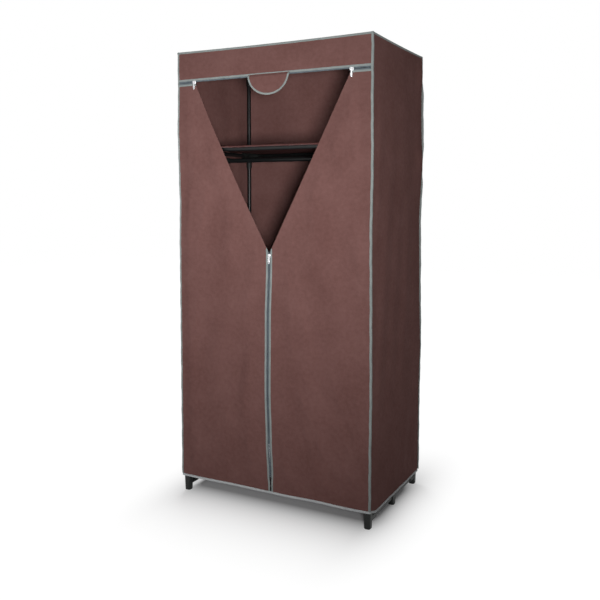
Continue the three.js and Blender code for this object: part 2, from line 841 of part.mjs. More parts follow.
// The hem's binding goes once round the cover and steps down behind the front corners
function hemBinding() {
  const inset = clothThickness / 2;
  const x = halfWidth - inset;
  const y = halfDepth - inset;
  const right = [];
  for (let i = 1; i <= rampColumns; i += 1) {
    const away = (hemRamp * i) / rampColumns;
    right.push([x, away - halfDepth, hemAt(away)]);
  }
  const left = right.map(([px, py, pz]) => [-px, py, pz]).reverse();
  const path = [
    [-x, -y, frontHemHeight], [x, -y, frontHemHeight], ...right,
    [x, y, sideHemHeight], [-x, y, sideHemHeight], ...left,
  ];
  const half = bindingThickness / 2;
  const rings = path.map(([px, py, pz], i) => {
    const before = path[(i + path.length - 1) % path.length];
    const after = path[(i + 1) % path.length];
    const inTo = new THREE.Vector2(px - before[0], py - before[1]).normalize();
    const outOf = new THREE.Vector2(after[0] - px, after[1] - py).normalize();
    const normal = new THREE.Vector2(inTo.y + outOf.y, -inTo.x - outOf.x).normalize();
    const reach = half / normal.dot(new THREE.Vector2(inTo.y, -inTo.x));
    const at = (away, up) => new THREE.Vector3(
      px + normal.x * away * reach, py + normal.y * away * reach, pz + up,
    );
    return [at(1, 0), at(1, bindingWidth), at(-1, bindingWidth), at(-1, 0)];
  });
  const count = 4;
  const places = rings.flat().flatMap((point) => [point.x, point.y, point.z]);
  const faces = [];
  for (let r = 0; r < rings.length; r += 1) {
    const next = (r + 1) % rings.length;
    for (let i = 0; i < count; i += 1) {
      const j = (i + 1) % count;
      const [a, b, c, d] = [r * count + i, next * count + i, next * count + j, r * count + j];
      faces.push(a, b, c, a, c, d);
    }
  }
  const geometry = new THREE.BufferGeometry();
  geometry.setAttribute('position', new THREE.Float32BufferAttribute(places, 3));
  geometry.setIndex(faces);
  geometry.computeVertexNormals();
  return geometry;
}

// Semicircular tab: sewn on over the header's binding, it stands off the sliders and hangs
function headerTab() {
  const rootY = clothMidY - bindingThickness / 2 - restGap - tabThickness;
  const hungY = -sliderFront() - tabStandOff - tabThickness;
  const topZ = headerZipHeight + tapeReach + tabRootRise;
  return sheet(tabColumns, tabRows, (u, v) => {
    const sideShare = -Math.cos(Math.PI * u);
    const lowest = tabRootRise + tabDrop * Math.sqrt(Math.max(0, 1 - sideShare * sideShare));
    const drop = lowest * (1 - v) ** 1.8;
    const offShare = smooth(drop / tabSlope);
    return new THREE.Vector3(
      (tabWidth / 2) * sideShare, rootY + (hungY - rootY) * offShare, topZ - drop,
    );
  }, new THREE.Vector3(0, tabThickness, 0));
}

// Zip sliders. Each is made for a level or an upright zip with its bail bar along X
function sliderHalfThickness() {
  return chainThickness / 2 + channelClearance + sliderPlate;
}

function bailDistance() {
  return sliderHalfThickness() + restGap + bailDiameter / 2 + knuckleClearance + knuckleWall;
}

function sliderFront() {
  return halfDepth - clothThickness / 2 + bailDistance()
    + bailDiameter / 2 + knuckleClearance + knuckleWall;
}

// Outline of a slider's plates: wide at the mouth, narrow at the heel, with rounded ends
function sliderOutline() {
  const mouth = sliderMouthWidth / 2;
  const heel = sliderHeelWidth / 2;
  const half = sliderLength / 2;
  const shape = new THREE.Shape();
  shape.moveTo(-heel, -half * 0.75);
  shape.quadraticCurveTo(-heel, -half, -heel * 0.6, -half);
  shape.lineTo(heel * 0.6, -half);
  shape.quadraticCurveTo(heel, -half, heel, -half * 0.75);
  shape.lineTo(mouth, half * 0.45);
  shape.quadraticCurveTo(mouth, half, mouth * 0.55, half);
  shape.lineTo(-mouth * 0.55, half);
  shape.quadraticCurveTo(-mouth, half, -mouth, half * 0.45);
  shape.closePath();
  return new THREE.Shape(shape.getPoints(2));
}

// Local frame: X across the zip, Y out of the cloth (towards the front), Z to the mouth
function sliderBody() {
  const channel = chainThickness / 2 + channelClearance;
  const outer = sliderHalfThickness();
  const outline = sliderOutline();
  const slot = clothThickness / 2 + channelClearance;
  const flangeX = chainOuter + channelClearance;
  const front = plate(outline, 'xz', channel, outer);
  const rear = plate(outline, 'xz', -outer, -channel);
  const rim = cut(
    plate(outline, 'xz', slot, channel + cutOverrun / 4),
    block([-flangeX, 0, -sliderLength], [flangeX, outer * 2, sliderLength]),
  );
  const bridge = block(
    [-bridgeWidth / 2, -channel - sliderPlate / 2, sliderLength / 2 - bridgeLength],
    [bridgeWidth / 2, channel + sliderPlate / 2, sliderLength / 2 - sliderFlange],
  );
  const frontHalf = join(front, bridge, rear);
  return common(
    join(frontHalf, rim, mirrored(rim, 1, -1)),
    block([-sliderLength, -outer, -sliderLength], [sliderLength, outer, sliderLength]),
  );
}

// The bar that the pull hangs on, on two feet that stand on the front plate
function bail() {
  const away = bailDistance();
  const base = sliderHalfThickness() - sliderPlate / 2;
  const half = bailSpan / 2;
  const foot = (x) => block(
    [x - bailFoot / 2, base, -bailDiameter / 2],
    [x + bailFoot / 2, away + bailDiameter / 2, bailDiameter / 2],
  );
  return join(
    rod(bailDiameter / 2, 'x', -half, half, [0, away, 0], smallSides),
    foot(half - bailFoot / 2),
    foot(bailFoot / 2 - half),
  );
}

// turn is the angle that takes the mouth from up to the way that the slider closes
function zipSlider(turn) {
  const body = sliderBody().rotateY(turn);
  return mirrored(join(body, bail()), 1, -1);
}

function pull() {
  const outer = bailDiameter / 2 + knuckleClearance + knuckleWall;
  const inner = bailDiameter / 2 + knuckleClearance;
  const neck = pullNeckWidth / 2;
  const end = pullEndWidth / 2;
  const shape = new THREE.Shape();
  shape.moveTo(-neck, 0);
  shape.lineTo(-neck * 0.8, -pullLength * 0.3);
  shape.lineTo(-end, -pullLength * 0.62);
  shape.quadraticCurveTo(-end, -pullLength, 0, -pullLength);
  shape.quadraticCurveTo(end, -pullLength, end, -pullLength * 0.62);
  shape.lineTo(neck * 0.8, -pullLength * 0.3);
  shape.lineTo(neck, 0);
  shape.closePath();
  const outline = new THREE.Shape(shape.getPoints(3));
  const hole = rod(
    pullHole / 2, 'y', -pullThickness, pullThickness,
    [0, 0, pullHoleInset - pullLength], smallSides,
  );
  const tag = cut(plate(outline, 'xz', -pullThickness / 2, pullThickness / 2), hole);
  const knuckle = rod(outer, 'x', -knuckleWidth / 2, knuckleWidth / 2, [0, 0, 0], smallSides);
  return cut(join(tag, knuckle), rod(inner, 'x', -pullLength, pullLength, [0, 0, 0], smallSides));
}

function buildSlider(name, x, z, turn) {
  place(wardrobe, `${name}_slider`, zipSlider(turn), zinc, x, clothMidY, z);
  place(wardrobe, `${name}_pull`, pull(), zinc, x, clothMidY - bailDistance(), z);
}

buildConnectors();
buildTubes();
place(wardrobe, 'shelf_deck', shelfDeck(), deckCloth);
place(wardrobe, 'roof_panel', roofPanel(), cloth, 0, 0, coverHeight);
place(wardrobe, 'back_panel', backPanel(), cloth);
place(wardrobe, 'left_panel', sidePanel(-1), cloth);
place(wardrobe, 'right_panel', sidePanel(1), cloth);
place(wardrobe, 'header_panel', headerPanel(), cloth);
place(wardrobe, 'cover_piping', coverPiping(), binding);
place(wardrobe, 'hem_binding', hemBinding(), binding);
place(wardrobe, 'header_tab', headerTab(), cloth);
for (const [name, side] of sides) {
  place(wardrobe, `${name}_door`, doorPanel(side), cloth);
  place(wardrobe, `${name}_zip_tape`, zipSide(side), zipTape);
  buildFlap(name, side);
  buildSlider(name, side * foldTopX, headerZipHeight, side * -Math.PI / 2);
}
buildSlider('centre', 0, foldApexHeight - centreSliderDrop, 0);

export default wardrobe;
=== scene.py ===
"""A portable fabric wardrobe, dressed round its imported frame.

Metres, +Z up, front towards -Y. The tubes stand in moulded connectors, and a sewn cover of
non-woven cloth hangs over them, with grey bindings on its seams and a coil zip down its front.
"""

import json
import logging
import math
from collections.abc import Callable
from dataclasses import dataclass, field
from enum import Enum, IntEnum

import bmesh
import bpy
import numpy as np
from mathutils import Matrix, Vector


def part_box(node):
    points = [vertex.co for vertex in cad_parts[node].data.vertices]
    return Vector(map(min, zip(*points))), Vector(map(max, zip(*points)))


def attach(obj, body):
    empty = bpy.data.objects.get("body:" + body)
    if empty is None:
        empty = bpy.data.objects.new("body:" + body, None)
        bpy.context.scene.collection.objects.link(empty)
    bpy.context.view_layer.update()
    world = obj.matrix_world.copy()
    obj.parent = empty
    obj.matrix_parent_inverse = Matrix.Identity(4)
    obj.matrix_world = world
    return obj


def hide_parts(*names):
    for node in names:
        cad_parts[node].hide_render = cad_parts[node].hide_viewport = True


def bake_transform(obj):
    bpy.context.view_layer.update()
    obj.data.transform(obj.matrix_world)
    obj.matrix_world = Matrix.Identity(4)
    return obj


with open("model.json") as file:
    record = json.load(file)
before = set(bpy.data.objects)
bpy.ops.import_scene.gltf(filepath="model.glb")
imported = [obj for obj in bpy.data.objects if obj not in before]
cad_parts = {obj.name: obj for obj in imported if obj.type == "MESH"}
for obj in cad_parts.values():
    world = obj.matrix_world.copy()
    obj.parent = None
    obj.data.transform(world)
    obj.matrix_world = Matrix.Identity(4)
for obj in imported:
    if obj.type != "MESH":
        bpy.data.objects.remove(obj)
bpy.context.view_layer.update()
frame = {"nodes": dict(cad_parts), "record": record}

LOG = logging.getLogger("wardrobe")
FRAME_BODY = "frame"
SLOTS = {part["node"]: part["material_slot"] for part in frame["record"]["subparts"]}

# Short names for type hints.
Array = np.ndarray
Material = bpy.types.Material
Object = bpy.types.Object
Pair = tuple[float, float]
Screen = tuple[int, int, int]
Socket = bpy.types.NodeSocket
Triple = tuple[float, float, float]

# Points closer together than this are made one point.
WELD = 2e-6
# How far above its cloth a stitch lies.
THREAD_LIFT = 0.00005
# Bands in a metre that a wave texture draws at a scale of one.
WAVE_BANDS = 3.18


class Side(Enum):
    """The two halves of the front, with the sign of X that each stands on."""

    LEFT = -1
    RIGHT = 1

    @property
    def word(self) -> str:
        """The side's name as the nodes spell it."""
        return self.name.lower()


class Cut(Enum):
    """The two parts of a door that are made apart, named as their pieces are."""

    MAIN = "door"
    TIP = "tip"


class Layer(IntEnum):
    """What a point of a door lies on: one of its three layers, or a fold between two of them."""

    DOOR = 0
    FLAP = 1
    TIP = 2
    TIP_FOLD = 3
    DOOR_FOLD = 4


class Thinned(Enum):
    """Which edges of a folded tape are thinned."""

    UPRIGHT = "the two upright edges"
    LEVEL = "the two level edges"


class Wall(Enum):
    """A plain panel: its piece, its node, what it hangs from or lies on, and how it is held."""

    LEFT = ("left_side_cloth", "left_panel", "top_corner_front_left", "hung")
    RIGHT = ("right_side_cloth", "right_panel", "top_tube_right", "hung")
    BACK = ("back_cloth", "back_panel", "top_tube_back", "hung")
    ROOF = ("roof_cloth", "roof_panel", "top_tube_left", "laid")

    def __init__(self, piece: str, node: str, rests_on: str, held: str) -> None:
        """Name the four words of each panel.

        Args:
            piece: The piece.
            node: The solid.
            rests_on: What carries it.
            held: How it is held.
        """
        self.piece = piece
        self.node = node
        self.rests_on = rests_on
        self.held = held


# Numbers


def smooth(share: Array | float) -> Array:
    """Ease a share from 0 to 1, level at both ends."""
    clipped = np.clip(share, 0.0, 1.0)
    return clipped * clipped * (3.0 - 2.0 * clipped)


def rising(at: Array | float, start: float, run: float) -> Array:
    """Ease from 0 at a start to 1 a run farther on."""
    return smooth((at - start) / run)


@dataclass(frozen=True)
class Course:
    """A value that changes with height, in eased steps between knots."""

    knots: tuple[float, ...]
    values: tuple[float, ...]

    def at(self, height: Array) -> Array:
        """The value at each height.

        Args:
            height: Heights in metres.

        Returns:
            One value for each height.
        """
        total = np.full(height.shape, self.values[0])
        steps = zip(self.knots[:-1], self.knots[1:], self.values[:-1], self.values[1:])
        for low, high, before, after in steps:
            total = total + (after - before) * rising(height, low, high - low)
        return total


@dataclass(frozen=True)
class Ripples:
    """A soft uneven field, summed from a few plane waves drawn from a fixed seed."""

    seed: int
    shortest: float
    longest: float
    count: int = 9
    lean: float = 0.5

    def at(self, u: Array, v: Array) -> Array:
        """Value of the field, about -1 to 1.

        Args:
            u: Distance across the cloth in metres.
            v: Distance up the cloth in metres.

        Returns:
            The field at each place.
        """
        draw = np.random.default_rng(self.seed)
        total = np.zeros(np.broadcast(u, v).shape)
        for _ in range(self.count):
            length = self.shortest * (self.longest / self.shortest) ** draw.random()
            angle = draw.normal(0.0, self.lean)
            phase = draw.random() * math.tau
            turn = math.tau / length
            total = total + np.sin(turn * (math.cos(angle) * u + math.sin(angle) * v) + phase)
        return total / math.sqrt(self.count)


# Places


@dataclass(frozen=True)
class Layout:
    """Where things stand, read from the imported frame."""

    half_width: float
    half_depth: float
    top: float
    front_hem: float
    side_hem: float
    cloth_y: float
    flap_y: float
    tip_y: float
    zip_z: float
    apex_z: float
    fold_x: float
    tip_x: float
    chain_x: float
    inset: float

    @classmethod
    def read(cls, proud: float = 0.0008, inset: float = 0.0006, hem_drop: float = 0.0083) -> "Layout":
        """Read the places from the frame.

        Args:
            proud: How far the piping stands out from the cloth.
            inset: Half the thickness of the frame's cloth.
            hem_drop: How far the front hem's foot hangs below the doors' solids.

        Returns:
            The layout.
        """
        joints = {joint["name"]: joint for joint in frame["record"]["behaviour"]["joints"]}
        low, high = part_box("cover_piping")
        hem_low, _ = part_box("hem_binding")
        slider_low, slider_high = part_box("right_slider")
        fold = joints["right_flap_fold"]["pos_m"]
        tip = joints["right_tip_fold"]["pos_m"]
        cloth_y = low.y + proud + inset
        flap_y = 2 * fold[1] - cloth_y
        return cls(
            half_width=high.x - proud,
            half_depth=high.y - proud,
            top=high.z - proud,
            front_hem=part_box("left_door")[0].z - hem_drop,
            side_hem=hem_low.z,
            cloth_y=cloth_y,
            flap_y=flap_y,
            tip_y=2 * tip[1] - flap_y,
            zip_z=(slider_low.z + slider_high.z) / 2,
            apex_z=fold[2],
            fold_x=(slider_low.x + slider_high.x) / 2,
            tip_x=tip[0],
            chain_x=fold[0],
            inset=inset,
        )

    @property
    def door_top(self) -> float:
        """Height of the top edge of the doors, at the level zip."""
        return self.zip_z - self.chain_x


@dataclass(frozen=True)
class CoverEase:
    """How the sewn cover strays from its flat planes: bulged corners and a slack roof edge."""

    layout: Layout
    front_left: Course = Course((0.95, 1.05, 1.17, 1.33, 1.45), (0.0, -0.0025, 0.0, 0.0035, 0.0))
    front_right: Course = Course((0.25, 0.45, 0.7, 0.95, 1.2, 1.4),
                                 (0.0, 0.0015, 0.0, -0.0018, 0.0015, 0.0))
    back_right: Course = Course((0.3, 0.55, 0.8, 1.0, 1.2, 1.42),
                                (0.0, 0.0025, -0.001, -0.003, 0.003, 0.0))
    back_left: Course = Course((0.2, 0.5, 0.9, 1.2, 1.45), (0.0, 0.003, -0.002, 0.003, 0.0))
    flat_share: float = 0.4
    roof_sag: float = 0.003
    side_sag: float = 0.002
    sag_height: float = 0.09
    sag_run: float = 0.08

    def bend(self, places: Array) -> Array:
        """Move places on the cover from its flat planes to where the slack cloth has them.

        The front keeps its plane, because the layers of the doors turn on it.

        Args:
            places: Points of the cover, any shape that ends in 3.

        Returns:
            The moved points.
        """
        place, flat = self.layout, self.flat_share
        x, y, z = places[..., 0], places[..., 1], places[..., 2]
        across = rising(np.abs(x) / place.half_width, flat, 1.0 - flat)
        along = rising(np.abs(y) / place.half_depth, flat, 1.0 - flat)
        moved = places.copy()
        for sign_x, sign_y, course in (
            (-1, -1, self.front_left),
            (1, -1, self.front_right),
            (1, 1, self.back_right),
            (-1, 1, self.back_left),
        ):
            here = (np.sign(x) == sign_x) & (np.sign(y) == sign_y)
            push = course.at(z) * across * along * here
            moved[..., 0] += push * sign_x
            if sign_y > 0:
                moved[..., 1] += push
        high = rising(z, place.top - self.sag_height, self.sag_run)
        middle = 1.0 - (x / place.half_width) ** 2
        between = 1.0 - (y / place.half_depth) ** 2
        edge = np.maximum(self.roof_sag * middle * along, self.side_sag * between * across)
        moved[..., 2] -= high * edge
        return moved


# Meshes


def linked(name: str, data: bpy.types.ID) -> Object:
    """Make an object of some data and put it in the scene."""
    made = bpy.data.objects.new(name, data)
    bpy.context.collection.objects.link(made)
    return made


def worked(piece: Object, modifier: bpy.types.Modifier) -> None:
    """Replace a piece's mesh by what its modifier makes of it, and drop the modifier.

    Args:
        piece: The piece.
        modifier: Its one modifier.
    """
    before = piece.data
    bpy.context.view_layer.update()
    graph = bpy.context.evaluated_depsgraph_get()
    after = bpy.data.meshes.new_from_object(piece.evaluated_get(graph))
    piece.modifiers.remove(modifier)
    piece.data = after
    bpy.data.meshes.remove(before)
    after.name = piece.name


def dress(piece: Object, material: Material) -> Object:
    """Give a piece one material."""
    piece.data.materials.clear()
    piece.data.materials.append(material)
    return piece


def settle(piece: Object, slot: str, *nodes: str, body: str = FRAME_BODY) -> None:
    """Set a piece on its body, and hide the solids that it stands for.

    Args:
        piece: The piece.
        slot: Its material slot; not used.
        nodes: The solids that it stands for.
        body: The body that it rides.
    """
    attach(piece, body)
    if nodes:
        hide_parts(*nodes)


def new_object(
    name: str,
    verts: Array,
    faces: list,
    uvs: Array | None = None,
    sharp: float = 40.0,
) -> Object:
    """Make a closed, outward-facing, smooth-shaded object at the origin.

    Args:
        name: The piece's name.
        verts: Points in metres.
        faces: Loops of point numbers.
        uvs: One place in metres for each point, or None.
        sharp: Angle in degrees past which an edge shows.

    Returns:
        The linked object.
    """
    mesh = bpy.data.meshes.new(name)
    mesh.from_pydata([tuple(v) for v in np.asarray(verts, float)], [], faces)
    if uvs is not None:
        layer = mesh.uv_layers.new(name="UVMap")
        order = np.empty(len(mesh.loops), np.int32)
        mesh.loops.foreach_get("vertex_index", order)
        layer.data.foreach_set("uv", np.asarray(uvs, np.float32)[order].ravel())
    work = bmesh.new()
    work.from_mesh(mesh)
    bmesh.ops.remove_doubles(work, verts=work.verts, dist=WELD)
    bmesh.ops.dissolve_degenerate(work, dist=WELD / 2, edges=work.edges)
    if work.calc_volume(signed=True) < 0:
        bmesh.ops.reverse_faces(work, faces=work.faces)
    work.to_mesh(mesh)
    work.free()
    mesh.shade_smooth()
    mesh.set_sharp_from_angle(angle=math.radians(sharp))
    return linked(name, mesh)


@dataclass
class Cloth:
    """A sheet over a grid: a middle surface, the way that it faces, and its thickness."""

    middle: Array
    facing: Array
    thick: Array
    uv: Array
    sharp: float = 50.0

    def object(self, name: str) -> Object:
        """Close the sheet with its back and edges.

        Args:
            name: The piece's name.

        Returns:
            The sheet as an object.
        """
        rows, columns = self.middle.shape[:2]
        half = self.facing * self.thick[..., None] / 2
        verts = np.concatenate(
            [(self.middle + half).reshape(-1, 3), (self.middle - half).reshape(-1, 3)]
        )
        uvs = np.concatenate([self.uv.reshape(-1, 2)] * 2)
        index = np.arange(rows * columns).reshape(rows, columns)
        under = rows * columns
        a, b, c, d = index[:-1, :-1], index[:-1, 1:], index[1:, 1:], index[1:, :-1]
        front = np.stack([a, b, c, d], -1).reshape(-1, 4)
        back = np.stack([a, d, c, b], -1).reshape(-1, 4) + under
        rim = np.concatenate([index[0, :], index[1:, -1], index[-1, -2::-1], index[-2:0:-1, 0]])
        after = np.roll(rim, -1)
        wall = np.stack([rim, rim + under, after + under, after], -1)
        faces = np.concatenate([front, back, wall]).tolist()
        return new_object(name, verts, faces, uvs, self.sharp)


def grid(first: Array, second: Array) -> tuple[Array, Array]:
    """Spread two lists of places over rows and columns."""
    return np.meshgrid(first, second)


def spaced(low: float, high: float, step: float, *breaks: float) -> Array:
    """Places from low to high about a step apart, with the breaks among them.

    Args:
        low: First place.
        high: Last place.
        step: About how far apart they are.
        breaks: Places that have to be among them.

    Returns:
        The places, rising.
    """
    stops = sorted({low, high, *(place for place in breaks if low < place < high)})
    parts = [
        np.linspace(a, b, max(1, round((b - a) / step)) + 1)[:-1] for a, b in zip(stops, stops[1:])
    ]
    return np.concatenate([*parts, [high]])


def plain_facing(shape: tuple, way: Triple) -> Array:
    """The same direction at every point of a grid."""
    return np.broadcast_to(np.array(way, float), (*shape, 3)).copy()


def soft_edge(share: Array, least: float = 0.55) -> Array:
    """Thickness share across a folded tape: full in the middle, thinner at its two edges."""
    return 1.0 - (1.0 - least) * np.abs(2.0 * share - 1.0) ** 5


def sweep(
    name: str,
    path: Array,
    first: Array,
    second: Array,
    outline: Array,
    closed: bool = False,
) -> Object:
    """Carry an outline along a path.

    Args:
        name: The piece's name.
        path: Points of the path.
        first: Direction of the outline's first axis at each point.
        second: Direction of its second axis at each point.
        outline: Points of the outline in those two axes.
        closed: Whether the path comes back to its start.

    Returns:
        The swept object.
    """
    rings = (
        path[:, None, :]
        + outline[None, :, 0, None] * first[:, None, :]
        + outline[None, :, 1, None] * second[:, None, :]
    )
    count, around = rings.shape[:2]
    steps = np.linalg.norm(np.diff(path, axis=0), axis=1)
    run = np.concatenate([[0.0], np.cumsum(steps)])
    ring_steps = np.linalg.norm(np.diff(outline, axis=0), axis=1)
    girth = np.concatenate([[0.0], np.cumsum(ring_steps)])
    uvs = np.stack(np.meshgrid(run, girth, indexing="ij"), -1).reshape(-1, 2)
    index = np.arange(count * around).reshape(count, around)
    after = np.roll(index, -1, axis=1)
    last = count if closed else count - 1
    following = np.roll(index, -1, axis=0)
    following_after = np.roll(after, -1, axis=0)
    faces = np.stack(
        [index[:last], after[:last], following_after[:last], following[:last]], -1
    ).reshape(-1, 4).tolist()
    if not closed:
        faces += [index[0, ::-1].tolist(), index[-1].tolist()]
    return new_object(name, rings.reshape(-1, 3), faces, uvs)


def merged(name: str, pieces: list[Object]) -> Object:
    """Put several objects' meshes into one object.

    Args:
        name: The new piece's name.
        pieces: Objects at the origin, which are used up.

    Returns:
        The one object, without a material.
    """
    work = bmesh.new()
    for piece in pieces:
        spare = piece.data
        work.from_mesh(spare)
        bpy.data.objects.remove(piece)
        bpy.data.meshes.remove(spare)
    mesh = bpy.data.meshes.new(name)
    work.to_mesh(mesh)
    work.free()
    return linked(name, mesh)


# Node trees


@dataclass
class TreeBuilder:
    """Adds nodes to a tree and joins them."""

    tree: bpy.types.NodeTree

    def feed(self, socket: Socket, value: object) -> None:
        """Link an input to a socket, or set it to a plain value.

        Args:
            socket: The input.
            value: A socket or a plain value.
        """
        if isinstance(value, Socket):
            self.tree.links.new(value, socket)
        else:
            socket.default_value = value

    def node(self, kind: str, settings: dict | None = None, **inputs: object) -> bpy.types.Node:
        """Add a node.

        Args:
            kind: The node's type name.
            settings: Its properties.
            inputs: Values or sockets for its inputs, with _ for a space.

        Returns:
            The node.
        """
        made = self.tree.nodes.new(kind)
        for key, value in (settings or {}).items():
            setattr(made, key, value)
        for key, value in inputs.items():
            name = key.replace("_", " ")
            self.feed(next(s for s in made.inputs if s.name == name and s.enabled), value)
        return made

    def step(self, kind: str, operation: str | None = None, *values: object) -> bpy.types.Node:
        """Add a node and fill its first inputs.

        Args:
            kind: The node's type name.
            operation: Its operation, for a node that has one.
            values: Sockets or plain values for its first inputs.

        Returns:
            The node.
        """
        made = self.node(kind, {"operation": operation} if operation else None)
        for socket, value in zip(made.inputs, values):
            self.feed(socket, value)
        return made


# Finishes


def linear(red: int, green: int, blue: int) -> tuple[float, float, float, float]:
    """Turn a colour written in screen values into the shader's own."""
    shares = [value / 255 for value in (red, green, blue)]
    out = [s / 12.92 if s <= 0.04045 else ((s + 0.055) / 1.055) ** 2.4 for s in shares]
    return (*out, 1.0)


class Shader(TreeBuilder):
    """A material's node tree under construction."""

    def __init__(self, name: str) -> None:
        """Start a material with one Principled shader."""
        self.material = bpy.data.materials.new(name)
        self.material.use_nodes = True
        super().__init__(self.material.node_tree)
        self.main = self.tree.nodes["Principled BSDF"]

    def coordinates(self, kind: str) -> Socket:
        """The piece's own UV or Object coordinates."""
        return self.node("ShaderNodeTexCoord").outputs[kind]

    def noise(self, where: Socket, scale: float, detail: float = 3.0, rough: float = 0.55) -> Socket:
        """A noise of one scale, in cells for each metre."""
        made = self.node("ShaderNodeTexNoise", Vector=where, Scale=scale, Detail=detail,
                         Roughness=rough)
        return made.outputs["Fac"]

    def wave(self, where: Socket, way: str, scale: float, **inputs: float) -> Socket:
        """Even bands across one direction."""
        made = self.node("ShaderNodeTexWave", {"bands_direction": way}, Vector=where, Scale=scale,
                         **inputs)
        return made.outputs["Fac"]

    def stretched(self, where: Socket, scale: Triple) -> Socket:
        """Coordinates that are scaled differently along each axis."""
        return self.node("ShaderNodeMapping", Vector=where, Scale=scale).outputs["Vector"]

    def ranged(self, factor: Socket, low: float, high: float) -> Socket:
        """A factor from 0 to 1, turned into a value from low to high."""
        return self.node("ShaderNodeMapRange", Value=factor, To_Min=low, To_Max=high).outputs["Result"]

    def ramp(self, factor: Socket, low: float, high: float, first: tuple, second: tuple) -> Socket:
        """Colours between two stops of a factor.

        Args:
            factor: The factor.
            low: Its first stop.
            high: Its second stop.
            first: Colour at the first.
            second: Colour at the second.

        Returns:
            The colour.
        """
        made = self.node("ShaderNodeValToRGB", Fac=factor)
        stops = made.color_ramp.elements
        for stop, position, color in zip(stops, (low, high), (first, second)):
            stop.position = position
            stop.color = color
        return made.outputs["Color"]

    def shaded(self, factor: Socket, low: float, high: float, color: Screen, share: float) -> Socket:
        """One colour and a darker share of it, between two stops of a factor."""
        dark = linear(*(round(value * share) for value in color))
        return self.ramp(factor, low, high, dark, linear(*color))

    def darkened(self, color: Socket, factor: Socket, low: float, high: float, grey: float) -> Socket:
        """A colour times a grey that goes up to white between two stops of a factor.

        Args:
            color: The colour.
            factor: The factor.
            low: Where the grey is full.
            high: Where it is white.
            grey: The grey.

        Returns:
            The product.
        """
        shade = self.ramp(factor, low, high, (grey, grey, grey, 1.0), (1.0, 1.0, 1.0, 1.0))
        made = self.node("ShaderNodeMix", {"data_type": "RGBA", "blend_type": "MULTIPLY"})
        for number, value in ((0, 1.0), (6, color), (7, shade)):
            self.feed(made.inputs[number], value)
        return made.outputs[2]

    def math(self, kind: str, first: Socket | float, second: Socket | float) -> Socket:
        """Combine two values."""
        return self.step("ShaderNodeMath", kind, first, second).outputs[0]

    def bump(self, height: Socket, distance: float, strength: float = 1.0,
             under: Socket | None = None) -> Socket:
        """Raise the surface by a height, over an earlier bump if one is given.

        Args:
            height: The height.
            distance: How tall it is in metres.
            strength: How much of it shows.
            under: The earlier bump.

        Returns:
            The normal.
        """
        made = self.node("ShaderNodeBump", Height=height, Distance=distance, Strength=strength)
        if under is not None:
            self.feed(made.inputs["Normal"], under)
        return made.outputs["Normal"]

    def finish(self, color: Socket, normal: Socket, **values: Socket | float) -> Material:
        """Set the Principled shader's own sockets.

        Args:
            color: The base colour.
            normal: The bumped normal.
            values: Plain values or sockets, by the socket's name with _ for a space.

        Returns:
            The material.
        """
        for key, value in {"Base_Color": color, "Normal": normal, **values}.items():
            self.feed(self.main.inputs[key.replace("_", " ")], value)
        return self.material


@dataclass(frozen=True)
class NonWoven:
    """Spun-bonded cloth: felted fibres with faint blotches and rows of pressed points."""

    name: str
    light: Screen
    dark: Screen
    blotch: float = 70.0
    fibre: float = 1400.0
    points: float = 620.0

    def material(self) -> Material:
        """Build the material.

        Returns:
            The material.
        """
        shader = Shader(self.name)
        where = shader.coordinates("UV")
        blotch = shader.noise(where, self.blotch, 6.0, 0.62)
        broad = shader.noise(where, self.blotch / 9, 2.0)
        fibre = shader.noise(shader.stretched(where, (1.0, 0.35, 1.0)), self.fibre, 4.0, 0.7)
        both = shader.math("ADD", shader.math("MULTIPLY", blotch, 0.5),
                           shader.math("MULTIPLY", broad, 0.5))
        color = shader.ramp(both, 0.34, 0.66, linear(*self.dark), linear(*self.light))
        color = shader.darkened(color, fibre, 0.3, 0.7, 0.84)
        pressed = shader.node("ShaderNodeTexVoronoi", Vector=where, Scale=self.points,
                              Randomness=0.15).outputs["Distance"]
        normal = shader.bump(blotch, 0.0008, 0.5)
        normal = shader.bump(pressed, 0.00018, 0.35, normal)
        normal = shader.bump(fibre, 0.00012, 0.5, normal)
        return shader.finish(color, normal, Roughness=0.95, Specular_IOR_Level=0.08)


@dataclass(frozen=True)
class WovenTape:
    """A narrow ribbed tape: fine ribs across it, with a weave between them."""

    name: str
    light: Screen
    dark: Screen
    rib: float = 0.0009
    wander: float = 30.0

    def material(self) -> Material:
        """Build the material.

        Returns:
            The material.
        """
        shader = Shader(self.name)
        where = shader.coordinates("UV")
        scale = 0.5 / self.rib / WAVE_BANDS
        ribs = [shader.wave(where, way, scale, Distortion=0.6, Detail=1.0) for way in ("Y", "X")]
        weave = shader.math("MULTIPLY", *ribs)
        wander = shader.noise(where, self.wander, 4.0)
        worn = shader.ramp(wander, 0.3, 0.7, linear(*self.dark), linear(*self.light))
        color = shader.darkened(worn, weave, 0.0, 0.6, 0.86)
        normal = shader.bump(weave, 0.00025, 0.6)
        return shader.finish(color, normal, Roughness=0.82, Specular_IOR_Level=0.3, Sheen_Weight=0.05)


@dataclass(frozen=True)
class PowderCoat:
    """Black powder coat on steel: a low orange-peel texture with a soft shine."""

    name: str
    color: Screen
    peel: float = 420.0

    def material(self) -> Material:
        """Build the material.

        Returns:
            The material.
        """
        shader = Shader(self.name)
        where = shader.coordinates("Object")
        peel = shader.noise(where, self.peel, 2.0)
        rub = shader.noise(where, self.peel / 18, 5.0, 0.7)
        color = shader.shaded(rub, 0.35, 0.7, self.color, 0.8)
        normal = shader.bump(peel, 0.0002, 0.35)
        return shader.finish(color, normal, Roughness=shader.ranged(rub, 0.28, 0.46),
                             Specular_IOR_Level=0.22)


